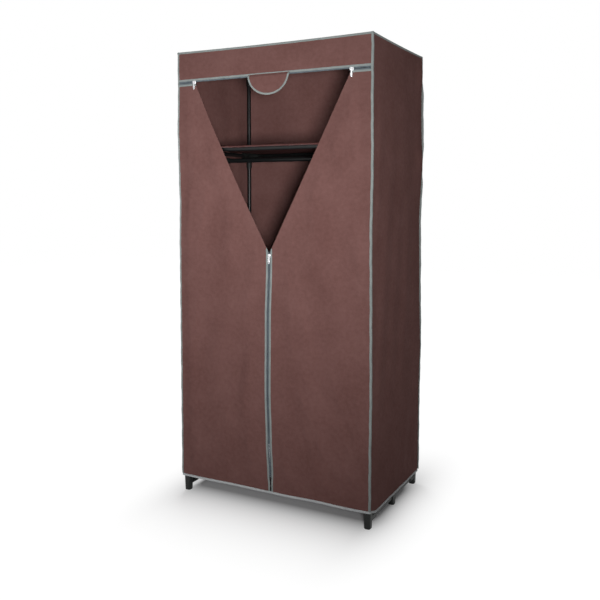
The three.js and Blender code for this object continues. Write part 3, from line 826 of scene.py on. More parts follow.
@dataclass(frozen=True)
class MouldedPlastic:
    """Injection-moulded plastic with a fine spark-eroded grain."""

    name: str
    color: Screen
    grain: float = 1500.0

    def material(self) -> Material:
        """Build the material.

        Returns:
            The material.
        """
        shader = Shader(self.name)
        where = shader.coordinates("Object")
        grain = shader.noise(where, self.grain, 3.0, 0.6)
        flow = shader.noise(shader.stretched(where, (1.0, 1.0, 0.3)), self.grain / 40, 4.0)
        color = shader.shaded(flow, 0.3, 0.7, self.color, 0.78)
        normal = shader.bump(grain, 0.00012, 0.4)
        return shader.finish(color, normal, Roughness=shader.ranged(flow, 0.42, 0.6),
                             Specular_IOR_Level=0.25)


@dataclass(frozen=True)
class BrightZinc:
    """Polished die-cast zinc, lightly scuffed along its length."""

    name: str
    color: Screen
    scuff: float = 900.0

    def material(self) -> Material:
        """Build the material.

        Returns:
            The material.
        """
        shader = Shader(self.name)
        where = shader.coordinates("Object")
        scuff = shader.noise(shader.stretched(where, (1.0, 1.0, 0.15)), self.scuff, 4.0, 0.6)
        color = shader.shaded(scuff, 0.3, 0.7, self.color, 0.9)
        normal = shader.bump(scuff, 0.00005, 0.3)
        return shader.finish(color, normal, Roughness=shader.ranged(scuff, 0.16, 0.36), Metallic=1.0)


@dataclass(frozen=True)
class SpunThread:
    """Polyester sewing thread: two plies twisted together."""

    name: str
    light: Screen
    dark: Screen
    twist: float = 900.0

    def material(self) -> Material:
        """Build the material.

        Returns:
            The material.
        """
        shader = Shader(self.name)
        ply = shader.wave(shader.coordinates("Object"), "DIAGONAL", self.twist, Distortion=0.4)
        color = shader.ramp(ply, 0.1, 0.8, linear(*self.dark), linear(*self.light))
        normal = shader.bump(ply, 0.0001, 0.5)
        return shader.finish(color, normal, Roughness=0.6)


def finish(
    kind: NonWoven | WovenTape | PowderCoat | MouldedPlastic | BrightZinc | SpunThread,
) -> Material:
    """A field that holds one finish's material."""
    return field(default_factory=kind.material)


@dataclass
class Finishes:
    """Every finish on the wardrobe, made once."""

    cloth: Material = finish(NonWoven("brown_non_woven", (122, 88, 84), (108, 75, 71)))
    deck: Material = finish(NonWoven("maroon_non_woven", (96, 60, 58), (78, 46, 45)))
    binding: Material = finish(WovenTape("grey_binding_tape", (150, 156, 154), (132, 140, 138)))
    # The hem tape is the same grey tape as the bindings, painted lighter to stand in for light bounced
    # up from the floor: painted light, not a lighter tape.
    hem: Material = finish(WovenTape("light_hem_tape", (205, 208, 209), (190, 194, 196)))
    tape: Material = finish(WovenTape("zip_tape_weave", (112, 120, 126), (96, 105, 111), rib=0.0006))
    teeth: Material = finish(MouldedPlastic("zip_coil", (104, 114, 120), grain=2500.0))
    thread: Material = finish(SpunThread("grey_thread", (160, 166, 164), (120, 127, 126)))
    steel: Material = finish(PowderCoat("black_powder_coat", (26, 27, 28)))
    plastic: Material = finish(MouldedPlastic("black_moulded_plastic", (32, 34, 33)))
    zinc: Material = finish(BrightZinc("bright_zinc", (232, 232, 234)))


# Rows of small things


class RowShape(Enum):
    """What is set along a seam or a zip."""

    STITCH = "stitch"
    TOOTH = "tooth"


@dataclass(frozen=True)
class Row:
    """A run of small pieces along a path that lies on the cloth."""

    path: Array
    facing: Array


class RowTree(TreeBuilder):
    """The Geometry Nodes tree that sets one small shape at an even pitch along paths."""

    sizes = ("Pitch", "Length", "Width", "Height", "Tilt")

    def __init__(self, shape: RowShape) -> None:
        """Build the tree for one shape.

        Args:
            shape: What is set along the paths.
        """
        self.shape = shape
        super().__init__(bpy.data.node_groups.new(f"{shape.value}_row", "GeometryNodeTree"))
        face = self.tree.interface
        face.new_socket("Geometry", in_out="INPUT", socket_type="NodeSocketGeometry")
        for size in self.sizes:
            face.new_socket(size, in_out="INPUT", socket_type="NodeSocketFloat")
        face.new_socket("Seed", in_out="INPUT", socket_type="NodeSocketInt")
        face.new_socket("Material", in_out="INPUT", socket_type="NodeSocketMaterial")
        face.new_socket("Geometry", in_out="OUTPUT", socket_type="NodeSocketGeometry")
        self.fill()

    def unit_shape(self) -> Socket:
        """The small shape at unit size: a lozenge for a stitch, a bar on its side for a tooth."""
        if self.shape is RowShape.STITCH:
            ball = self.node("GeometryNodeMeshIcoSphere", Radius=0.5, Subdivisions=1)
            return ball.outputs["Mesh"]
        bar = self.node("GeometryNodeMeshCylinder", Vertices=8, Radius=0.5, Depth=1.0)
        laid = self.node("GeometryNodeTransform", Geometry=bar.outputs["Mesh"],
                         Rotation=(math.pi / 2, 0.0, 0.0))
        return laid.outputs["Geometry"]

    def fill(self) -> None:
        """Lay out the nodes."""
        given = self.node("NodeGroupInput").outputs
        curve = self.node("GeometryNodeMeshToCurve", Mesh=given["Geometry"])
        even = self.node("GeometryNodeResampleCurve", {"mode": "LENGTH"},
                         Curve=curve.outputs["Curve"], Length=given["Pitch"])
        facing = self.node("GeometryNodeInputNamedAttribute", {"data_type": "FLOAT_VECTOR"},
                           Name="facing")
        tangent = self.node("GeometryNodeInputTangent")
        turned = self.node("FunctionNodeAxesToRotation",
                           {"primary_axis": "Z", "secondary_axis": "X"},
                           Primary_Axis=facing.outputs["Attribute"],
                           Secondary_Axis=tangent.outputs["Tangent"])
        scale = self.node("ShaderNodeCombineXYZ", X=given["Length"], Y=given["Width"],
                          Z=given["Height"])
        placed = self.node("GeometryNodeInstanceOnPoints", Points=even.outputs["Curve"],
                           Instance=self.unit_shape(), Rotation=turned.outputs["Rotation"],
                           Scale=scale.outputs["Vector"])
        least = self.step("ShaderNodeMath", "MULTIPLY", given["Tilt"], -1.0)
        draw = self.node("FunctionNodeRandomValue", {"data_type": "FLOAT"},
                         Min=least.outputs[0], Max=given["Tilt"], Seed=given["Seed"])
        spin = self.node("ShaderNodeCombineXYZ", Z=draw.outputs[1])
        loose = self.node("GeometryNodeRotateInstances", Instances=placed.outputs["Instances"],
                          Rotation=spin.outputs["Vector"])
        real = self.node("GeometryNodeRealizeInstances", Geometry=loose.outputs["Instances"])
        softened = self.node("GeometryNodeSetShadeSmooth", Geometry=real.outputs["Geometry"])
        dressed = self.node("GeometryNodeSetMaterial", Geometry=softened.outputs["Geometry"],
                            Material=given["Material"])
        self.node("NodeGroupOutput", Geometry=dressed.outputs["Geometry"])

    def identifier(self, name: str) -> str:
        """The identifier of a named input."""
        return next(
            item.identifier for item in self.tree.interface.items_tree
            if item.item_type == "SOCKET" and item.in_out == "INPUT" and item.name == name
        )


@dataclass
class RowMaker:
    """Sets stitches or teeth along rows and gives them back as one plain mesh."""

    shape: RowShape
    material: Material
    pitch: float
    length: float
    width: float
    height: float
    tilt: float = 0.0
    tree: RowTree = field(init=False)

    def __post_init__(self) -> None:
        """Build the tree once."""
        self.tree = RowTree(self.shape)

    def make(self, name: str, rows: list[Row], seed: int) -> Object:
        """Set the shape along the rows.

        Args:
            name: The piece's name.
            rows: The paths.
            seed: Fixed seed for the small turns.

        Returns:
            The finished object.
        """
        mesh = bpy.data.meshes.new(name)
        places, edges, facings = [], [], []
        for row in rows:
            start = len(places)
            places += [tuple(p) for p in row.path]
            facings += [tuple(f) for f in row.facing]
            edges += [(start + i, start + i + 1) for i in range(len(row.path) - 1)]
        mesh.from_pydata(places, edges, [])
        attribute = mesh.attributes.new("facing", "FLOAT_VECTOR", "POINT")
        attribute.data.foreach_set("vector", np.asarray(facings, np.float32).ravel())
        piece = linked(name, mesh)
        modifier = piece.modifiers.new("row", "NODES")
        modifier.node_group = self.tree.tree
        values = {"Pitch": self.pitch, "Length": self.length, "Width": self.width,
                  "Height": self.height, "Tilt": self.tilt, "Seed": seed,
                  "Material": self.material}
        for key, value in values.items():
            modifier[self.tree.identifier(key)] = value
        worked(piece, modifier)
        return piece


def offset_row(sheet: Cloth, row: int, lift: float = THREAD_LIFT) -> Row:
    """A path for stitches along one row of a sheet's outer face.

    Args:
        sheet: The sheet.
        row: Number of the row.
        lift: How far above the face the path lies.

    Returns:
        The path and the way that it faces.
    """
    facing = sheet.facing[row]
    return Row(sheet.middle[row] + facing * (sheet.thick[row][:, None] / 2 + lift), facing)


# Front


@dataclass(frozen=True)
class Strip:
    """A strip or panel of a door, flat, with its ends as distances from the zip and heights."""

    near: float
    far: float
    foot: float
    top: float
    thick: float
    across_step: float = 0.006
    up_step: float = 0.007
    thinned: Thinned | None = None
    slack: Callable[[Array, Array], Array] | None = None

    def thickness(self, s: Array, z: Array) -> Array:
        """The thickness at each place.

        Args:
            s: Distances from the zip.
            z: Heights.

        Returns:
            One thickness for each place.
        """
        full = np.full(s.shape, self.thick)
        if self.thinned is Thinned.UPRIGHT:
            full *= soft_edge((s - self.near) / (self.far - self.near))
        if self.thinned is Thinned.LEVEL:
            full *= soft_edge((z - self.foot) / (self.top - self.foot))
        return full

    def stands_out(self, s: Array, z: Array) -> Array:
        """How far the slack stands out from the plane at each place."""
        return self.slack(s, z) if self.slack is not None else np.zeros(s.shape)


@dataclass(frozen=True)
class Fold:
    """The front's closed plane and how each half folds in at the top.

    Places on a door are (s, z): distance from the zip's middle line and height, with the door
    closed.
    """

    layout: Layout
    ease: CoverEase
    side: Side
    bead: float = 0.0007
    arc_steps: int = 6
    sway_course: Course = Course((0.07, 0.12, 0.24, 0.42, 0.66, 0.86),
                                 (0.003, 0.0016, -0.004, -0.0085, -0.0065, -0.0008))
    sway_start: float = 0.016
    sway_run: float = 0.15
    bows: Pair = (0.008, 0.0)
    bow_reach: float = 0.13
    pinch: float = 0.0026
    pinch_near: Pair = (0.002, 0.0035)
    pinch_far: Pair = (0.0135, 0.03)
    pinch_top: float = 0.128
    pinch_run: float = 0.04
    flap_slack: float = 0.15
    tip_slack: float = 0.1
    parting: float = 1e-5
    touching: float = 1e-7
    row_step: float = 0.01

    @property
    def slope(self) -> float:
        """How much farther out the fold line stands for each metre up."""
        place = self.layout
        return (place.fold_x - place.chain_x) / (place.door_top - place.apex_z)

    @property
    def direction(self) -> Array:
        """Unit direction of the fold line in (s, z)."""
        way = np.array([self.slope, 1.0])
        return way / np.linalg.norm(way)

    def fold_s(self, z: Array) -> Array:
        """Where the fold line crosses a height; the chain's edge below the apex."""
        return self.layout.chain_x + np.maximum(0.0, z - self.layout.apex_z) * self.slope

    def reflected(self, s: Array, z: Array) -> tuple[Array, Array]:
        """Turn places over the fold line.

        Args:
            s: Distances from the zip.
            z: Heights.

        Returns:
            The turned distances and heights.
        """
        ds, dz = self.direction
        a, b = s - self.layout.chain_x, z - self.layout.apex_z
        dot = a * ds + b * dz
        return self.layout.chain_x + 2 * dot * ds - a, self.layout.apex_z + 2 * dot * dz - b

    def tip_s(self, z: Array | float) -> Array | float:
        """Where the second fold crosses a height, in the closed plane."""
        ds, dz = self.direction
        reach = 2 * ds * dz * (z - self.layout.apex_z) - (self.layout.tip_x - self.layout.chain_x)
        return self.layout.chain_x + reach / (1.0 - 2.0 * ds * ds)

    def tip_z(self, s: float) -> float:
        """Height at which the second fold passes a distance s."""
        ds, dz = self.direction
        reach = (s - self.layout.chain_x) * (1.0 - 2.0 * ds * ds)
        return self.layout.apex_z + (reach + self.layout.tip_x - self.layout.chain_x) / (2 * ds * dz)

    def pinched(self, s: Array, z: Array) -> Array:
        """Distances from the zip, with the edges drawn together below the end of the zip."""
        near = rising(s, *self.pinch_near) * (1.0 - rising(s, *self.pinch_far))
        return s - self.pinch * near * smooth((self.pinch_top - z) / self.pinch_run)

    def sway(self, s: Array, z: Array) -> Array:
        """How far the zip strays sideways between its ends, as a shift along X."""
        return self.sway_course.at(z) * (1.0 - rising(np.abs(s), self.sway_start, self.sway_run))

    def bow(self, s: Array, z: Array) -> Array:
        """How far the slack beside the fold line carries the cloth outwards.

        Args:
            s: Distances from the zip.
            z: Heights.

        Returns:
            The shift outwards at each place.
        """
        place = self.layout
        up = np.clip((z - place.apex_z) / (place.door_top - place.apex_z), 0.0, 1.0)
        most = self.bows[0 if self.side is Side.LEFT else 1]
        near = 1.0 - smooth(np.abs(s - self.fold_s(z)) / self.bow_reach)
        return most * np.sin(math.pi * up) * near

    def to_world(self, s: Array, y: Array, z: Array) -> Array:
        """Points in the frame for places on the door, with the cover's slack."""
        x = self.side.value * (self.pinched(s, z) + self.bow(s, z)) + self.sway(s, z)
        return self.ease.bend(np.stack([x, np.broadcast_to(y, x.shape), z], -1))

    def sheet(self, cut: Cut, strip: Strip) -> Cloth:
        """Make the part of a strip or panel that belongs to the door and flap, or to the tip.

        Args:
            cut: Which part to make.
            strip: The whole strip.

        Returns:
            The part, folded as it lies at rest.
        """
        place, near, far = self.layout, strip.near, strip.far
        foot, top = strip.foot, strip.top
        if cut is Cut.TIP:
            foot = max(foot, self.tip_z(near) + self.parting)
        elif self.tip_z(far) < top:
            top = self.tip_z(far) - self.parting
        crossings = [place.apex_z + (s - place.chain_x) / self.slope for s in (near, far)]
        crossings += [self.tip_z(near), self.tip_z(far), place.apex_z]
        rows = spaced(foot, top, strip.up_step, *crossings)
        fold, tip = self.fold_s(rows), np.clip(self.tip_s(rows), near, far)
        shares = (spaced(near, far, strip.across_step) - near) / (far - near)
        few = np.linspace(0.0, 1.0, max(2, len(shares) // 2) + 1)
        arc = math.pi * (1.0 - np.arange(self.arc_steps + 1) / self.arc_steps)
        if cut is Cut.TIP:
            runs = [(near, tip, few, Layer.TIP), (tip, tip, arc, Layer.TIP_FOLD)]
        else:
            turn = np.clip(fold, tip, far)
            runs = [(np.clip(fold, near, far), far, shares, Layer.DOOR)]
            if (fold > near).any():
                runs = [(tip, turn, few, Layer.FLAP), (turn, turn, arc, Layer.DOOR_FOLD), *runs]
        columns, layers, angles = [], [], []
        for start, end, marks, layer in runs:
            for mark in marks:
                columns.append(start + (end - start) * mark)
                layers.append(layer)
                angles.append(mark if marks is arc else 0.0)
        s = np.stack(columns, -1)
        z = np.broadcast_to(rows[:, None], s.shape).copy()
        layer = np.broadcast_to(np.array(layers), s.shape)
        angle = np.broadcast_to(np.array(angles), s.shape)
        beyond = (fold >= far - self.touching)[:, None]
        crossed = (fold > near + self.touching)[:, None] & (fold < far - self.touching)[:, None]
        main = np.isin(layer, (Layer.DOOR, Layer.FLAP, Layer.DOOR_FOLD))
        layer = np.where(main & ~crossed, np.where(beyond, Layer.FLAP, Layer.DOOR), layer)
        past = (tip >= far - self.touching)[:, None]
        layer = np.where((layer == Layer.TIP_FOLD) & past, Layer.TIP, layer)
        return self.shaped(s, z, layer, angle, strip)

    def shaped(self, s: Array, z: Array, layer: Array, angle: Array, strip: Strip) -> Cloth:
        """Place the points of a strip.

        Args:
            s: Distances from the zip.
            z: Heights.
            layer: The layer or fold of each point.
            angle: How far round a fold each point is, from pi on the far layer to 0 on the near.
            strip: The strip that they belong to.

        Returns:
            The sheet.
        """
        place = self.layout
        out = strip.stands_out(s, z)
        flap_s, flap_z = self.reflected(s, z)
        on = [layer == Layer.DOOR, layer == Layer.FLAP, layer == Layer.TIP]
        world_s = np.select(on, [s, flap_s, 2 * place.tip_x - flap_s], s)
        world_z = np.select(on, [z, flap_z, flap_z], z)
        depths = [place.cloth_y - out, place.flap_y + out * self.flap_slack,
                  place.tip_y - out * self.tip_slack]
        world_y = np.select(on, depths, place.cloth_y)
        facing = np.zeros((*s.shape, 3))
        facing[..., 1] = np.select(on, [-1.0, 1.0, -1.0], 0.0)
        ds, dz = self.direction
        for fold, base_s, base_z, turn, way, near_y, outside in (
            (Layer.DOOR_FOLD, s, z, angle, (-dz, ds), place.cloth_y, 1.0),
            (Layer.TIP_FOLD, flap_s, flap_z, math.pi - angle, (1.0, 0.0), place.tip_y, -1.0),
        ):
            here = layer == fold
            lean = np.sin(turn)
            rise = self.bead * lean
            half_gap = (near_y - place.flap_y) / 2
            world_s = np.where(here, base_s + way[0] * rise, world_s)
            world_z = np.where(here, base_z + way[1] * rise, world_z)
            world_y = np.where(here, near_y - half_gap + half_gap * np.cos(turn), world_y)
            level = math.copysign(1.0, half_gap) * np.cos(turn)
            turned = outside * np.stack([way[0] * lean, level, way[1] * lean], -1)
            facing = np.where(here[..., None], turned, facing)
        facing[..., 0] *= self.side.value
        points = self.to_world(world_s, world_y, world_z)
        return Cloth(points, facing, strip.thickness(s, z), np.stack([s, z], -1))

    def row(self, places: list[Pair], layer: Layer, lift: float) -> Row:
        """A path over one layer of the door.

        Args:
            places: Ends of its straight stretches, as (s, z).
            layer: The layer.
            lift: How far in front of the layer's middle it lies.

        Returns:
            The path and the way that it faces.
        """
        dense = []
        for start, end in zip(np.array(places), np.array(places[1:])):
            count = max(2, round(float(np.linalg.norm(end - start)) / self.row_step))
            dense.append(start + (end - start) * np.linspace(0.0, 1.0, count + 1)[:, None])
        s, z = np.concatenate(dense).T
        thread = Strip(0.0, 1.0, 0.0, 1.0, 0.0)
        sheet = self.shaped(s, z, np.full(s.shape, layer), np.zeros(s.shape), thread)
        return Row(sheet.middle + sheet.facing * lift, sheet.facing)


@dataclass(frozen=True)
class Sewing:
    """Thickness of cloth and tapes, and how far each reaches from the middle of the zip."""

    cloth: float = 0.0007
    binding: float = 0.0019
    tape: float = 0.0008
    tape_reach: float = 0.0055
    binding_width: float = 0.0064
    tooth_middle: float = 0.0021
    tuck: float = 0.004
    tape_gap: float = 0.0002

    @property
    def binding_end(self) -> float:
        """Far edge of the binding from the zip's middle."""
        return self.tape_reach + self.binding_width


@dataclass
class FrontDoor:
    """One half of the front: cloth, bindings, zip tape, teeth and stitches."""

    layout: Layout
    ease: CoverEase
    side: Side
    finishes: Finishes
    stitches: RowMaker
    teeth: RowMaker
    sewing: Sewing = Sewing()
    cloth_rise: float = 0.003
    binding_rise: float = 0.002
    zip_foot: float = 0.115
    binding_step: float = 0.001
    tape_step: float = 0.002
    long_step: float = 0.008
    swell: float = 0.0056
    wrinkle: float = 0.0019
    calm: float = 0.35
    calm_height: float = 0.6
    calm_run: float = 0.4
    squeeze: float = 0.6
    zip_hold: Pair = (0.016, 0.07)
    side_hold: Pair = (0.008, 0.04)
    hem_hold: Pair = (0.01, 0.06)
    top_hold: Pair = (0.016, 0.05)
    fold_hold: float = 0.06
    slack_seeds: tuple[int, int] = (11, 23)
    bend_half: float = 0.00035
    seam_inset: float = 0.0013
    tip_gap: float = 0.003
    turn_gap: float = 0.004
    flap_gap: float = 0.012
    foot_gap: float = 0.002
    apex_gap: float = 0.006
    seam_foot: float = 0.01
    seam_past: float = 0.008
    seam_flap: float = 0.034
    fold: Fold = field(init=False)

    def __post_init__(self) -> None:
        """Set up the fold."""
        self.fold = Fold(self.layout, self.ease, self.side)

    def stand_out(self, s: Array, z: Array) -> Array:
        """How far the door's cloth stands out from its plane, least where it is held.

        Args:
            s: Distances from the zip.
            z: Heights.

        Returns:
            How far each place stands out, in metres.
        """
        place = self.layout
        seed = self.slack_seeds[0 if self.side is Side.LEFT else 1]
        broad = Ripples(seed, 0.12, 0.42, count=8, lean=0.6).at(s, z * self.squeeze)
        small = Ripples(seed + 1, 0.03, 0.1, count=11, lean=1.4).at(s, z)
        creased = self.calm + (1.0 - self.calm) * smooth((self.calm_height - z) / self.calm_run)
        held = rising(s, *self.zip_hold) * rising(place.half_width - s, *self.side_hold)
        held = held * rising(z - place.front_hem, *self.hem_hold)
        held = held * rising(place.door_top - z, *self.top_hold)
        ds, dz = self.fold.direction
        away = (s - place.chain_x) * dz - (z - place.apex_z) * ds
        held = held * np.where(z > place.apex_z, smooth(away / self.fold_hold), 1.0)
        swell = self.swell * smooth((broad + 1.0) / 2.0)
        return held * (swell + self.wrinkle * creased * np.maximum(small, 0.0))

    def strips(self) -> dict[str, list[Strip]]:
        """The strips that make up the cloth, the binding and the tape.

        Returns:
            The strips by kind.
        """
        place, sewing = self.layout, self.sewing
        near, hem, tuck = sewing.tape_reach, place.front_hem, sewing.tuck
        reach = place.half_width - tuck
        level_foot, level_top = place.zip_z - sewing.binding_end, place.zip_z - near
        inner, zip_top = place.chain_x + sewing.tape_gap, place.door_top - sewing.tape_gap
        return {
            "cloth": [
                Strip(near + tuck, reach, hem + self.cloth_rise, level_top - tuck, sewing.cloth,
                      slack=self.stand_out),
            ],
            "binding": [
                Strip(near, sewing.binding_end, hem + self.binding_rise, level_top,
                      sewing.binding, self.binding_step, self.long_step, Thinned.UPRIGHT),
                Strip(near, reach, level_foot, level_top, sewing.binding, self.long_step,
                      self.binding_step, Thinned.LEVEL),
            ],
            "tape": [
                Strip(inner, near + tuck, self.zip_foot, zip_top, sewing.tape, self.tape_step,
                      self.long_step),
                Strip(inner, reach, level_top - tuck, zip_top, sewing.tape, self.long_step,
                      self.tape_step),
            ],
        }

    def build(self) -> list[Object]:
        """Make the door's pieces, and set its teeth and stitches on their bodies.

        Returns:
            The pieces.
        """
        strips, word = self.strips(), self.side.word
        dressing = (("cloth", self.finishes.cloth, "cover_cloth"),
                    ("binding", self.finishes.binding, "grey_binding"),
                    ("tape", self.finishes.tape, "zip_tape"))
        pieces = {}
        for cut in Cut:
            for kind, material, slot in dressing:
                name = f"{word}_{cut.value}_{kind}"
                parts = [self.fold.sheet(cut, strip).object(kind) for strip in strips[kind]]
                pieces[name] = dress(merged(name, parts), material)
                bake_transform(pieces[name])
        pieces.update(self.rows())
        self.declare(strips["cloth"][0])
        return list(pieces.values())

    def bodies(self, cut: Cut) -> tuple:
        """The two bodies that a cut bends between, and where it starts and ends to bend.

        Args:
            cut: The cut.
        """
        place, flap = self.layout, f"{self.side.word}_flap"
        if cut is Cut.MAIN:
            bent, middle = (FRAME_BODY, flap), (place.cloth_y + place.flap_y) / 2
        else:
            bent, middle = (flap, f"{self.side.word}_tip"), (place.flap_y + place.tip_y) / 2
        start, end = middle - self.bend_half, middle + self.bend_half
        return (*bent, (0.0, start, 1.0), (0.0, end, 1.0))

    def rows(self) -> dict[str, Object]:
        """Make the teeth and stitches, one piece of each for every body.

        Returns:
            The pieces by name.
        """
        place, fold, sewing, word = self.layout, self.fold, self.sewing, self.side.word
        mid, seam = sewing.tooth_middle, sewing.binding_end - self.seam_inset
        top, seam_z = place.zip_z - mid, place.zip_z - seam
        apex, reach = place.apex_z, place.half_width - sewing.tuck
        gap, turn_gap, flap_gap = self.tip_gap, self.turn_gap, self.flap_gap
        tip_top, turn_top, tip_side = fold.tip_s(top), fold.fold_s(top), fold.tip_z(mid)
        seam_tip, seam_turn = fold.tip_s(seam_z), fold.fold_s(seam_z)
        seam_side = fold.tip_z(seam)
        shift = 0.0 if self.side is Side.LEFT else self.teeth.pitch / 2
        lift = sewing.binding / 2 + THREAD_LIFT
        plan = (
            ("door", FRAME_BODY, Layer.DOOR,
             [[(mid, self.zip_foot + self.foot_gap + shift), (mid, apex - self.apex_gap)],
              [(turn_top + turn_gap, top), (reach, top)]],
             [[(seam, place.front_hem + self.seam_foot), (seam, apex + self.seam_past)],
              [(seam_turn + turn_gap, seam_z), (reach, seam_z)]]),
            ("flap", f"{word}_flap", Layer.FLAP,
             [[(mid, apex + flap_gap + shift), (mid, tip_side - gap)],
              [(tip_top + gap, top), (turn_top - flap_gap, top)]],
             [[(seam, apex + self.seam_flap), (seam, seam_side - gap)],
              [(seam_tip + gap, seam_z), (seam_turn - flap_gap, seam_z)]]),
            ("tip", f"{word}_tip", Layer.TIP,
             [[(mid, tip_side + gap), (mid, top)], [(mid, top), (tip_top - gap, top)]],
             [[(seam, seam_side + gap), (seam, seam_z)], [(seam, seam_z), (seam_tip - gap, seam_z)]]),
        )
        made = {}
        for number, (part, body, layer, chains, seams) in enumerate(plan):
            for kind, maker, paths, height, seed, slot in (
                ("teeth", self.teeth, chains, 0.0, 40, "zip_tape"),
                ("stitches", self.stitches, seams, lift, 50, "grey_binding"),
            ):
                name = f"{word}_{part}_{kind}"
                rows = [fold.row(path, layer, height) for path in paths]
                made[name] = maker.make(name, rows, seed + number)
                settle(made[name], slot, body=body)
        return made

    def declare(self, panel: Strip) -> None:
        """Hide the solids that the door's pieces stand for; the size of the cut-off top corner is
        worked out but not used.

        Args:
            panel: The cloth's strip.
        """
        word = self.side.word
        corner_width = float(self.fold.tip_s(panel.top)) - panel.near
        corner_height = panel.top - self.fold.tip_z(panel.near)
        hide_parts(f"{word}_door", f"{word}_flap")
        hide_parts(f"{word}_zip_tape")
        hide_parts(f"{word}_flap_tip")


# The rest of the cover


@dataclass
class HeaderPanel:
    """The deep band over the doors, with the upper half of the level zip on its foot."""

    layout: Layout
    ease: CoverEase
    finishes: Finishes
    stitches: RowMaker
    teeth: RowMaker
    sewing: Sewing = Sewing()
    belly: float = 0.0008
    ripple: float = 0.0007
    side_hold: float = 0.04
    edge_hold: float = 0.02
    chain_points: int = 60
    across_step: float = 0.008
    binding_step: float = 0.001
    tape_step: float = 0.002
    cloth_step: float = 0.006

    @property
    def reach(self) -> float:
        """Half the header's width between the corner pipings."""
        return self.layout.half_width - self.sewing.tuck

    def strip(self, low: float, high: float, thick: float, step: float, slack: bool = False,
              thinned: bool = False) -> Cloth:
        """A level strip of the header.

        Args:
            low: Its foot.
            high: Its top.
            thick: Its thickness.
            step: About how far apart its rows are.
            slack: Whether it ripples.
            thinned: Whether its long edges are thinned.

        Returns:
            The strip.
        """
        x, z = grid(spaced(-self.reach, self.reach, self.across_step), spaced(low, high, step))
        out = np.zeros(x.shape)
        if slack:
            held = smooth((self.reach - np.abs(x)) / self.side_hold)
            held = held * rising(z, low, self.edge_hold) * smooth((high - z) / self.edge_hold)
            ripples = Ripples(71, 0.12, 0.4, count=7, lean=0.4).at(x, z)
            out = held * (self.belly + self.ripple * ripples)
        facing = plain_facing(x.shape, (0.0, -1.0, 0.0))
        thickness = np.full(x.shape, thick)
        if thinned:
            thickness *= soft_edge((z - low) / (high - low))
        middle = self.ease.bend(np.stack([x, self.layout.cloth_y - out, z], -1))
        return Cloth(middle, facing, thickness, np.stack([x, z], -1))

    def build(self) -> list[Object]:
        """Make the header's pieces.

        Returns:
            The pieces.
        """
        zip_z, sewing = self.layout.zip_z, self.sewing
        foot, tape_foot = zip_z + sewing.tape_reach, zip_z + self.layout.chain_x + sewing.tape_gap
        low, high = foot + sewing.tuck, self.layout.top - sewing.tuck
        bound = self.strip(foot, zip_z + sewing.binding_end, sewing.binding, self.binding_step,
                           thinned=True)
        taped = self.strip(tape_foot, foot + sewing.tuck, sewing.tape, self.tape_step)
        cloth = self.strip(low, high, sewing.cloth, self.cloth_step, slack=True)
        cloth = cloth.object("header_cloth")
        x = np.linspace(-self.reach, self.reach, self.chain_points)
        places = np.stack([x, np.full(x.shape, self.layout.cloth_y),
                           np.full(x.shape, zip_z + sewing.tooth_middle)], -1)
        chain = Row(self.ease.bend(places), plain_facing(x.shape, (0.0, -1.0, 0.0)))
        pieces = [
            dress(cloth, self.finishes.cloth),
            dress(bound.object("header_binding"), self.finishes.binding),
            dress(taped.object("header_zip_tape"), self.finishes.tape),
            self.stitches.make("header_stitches", [offset_row(bound, -2)], 61),
            self.teeth.make("header_teeth", [chain], 62),
        ]
        slots = ("cover_cloth", "grey_binding", "zip_tape", "grey_binding", "zip_tape")
        for piece, slot in zip(pieces, slots):
            settle(piece, slot)
        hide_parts("header_panel")
        return pieces


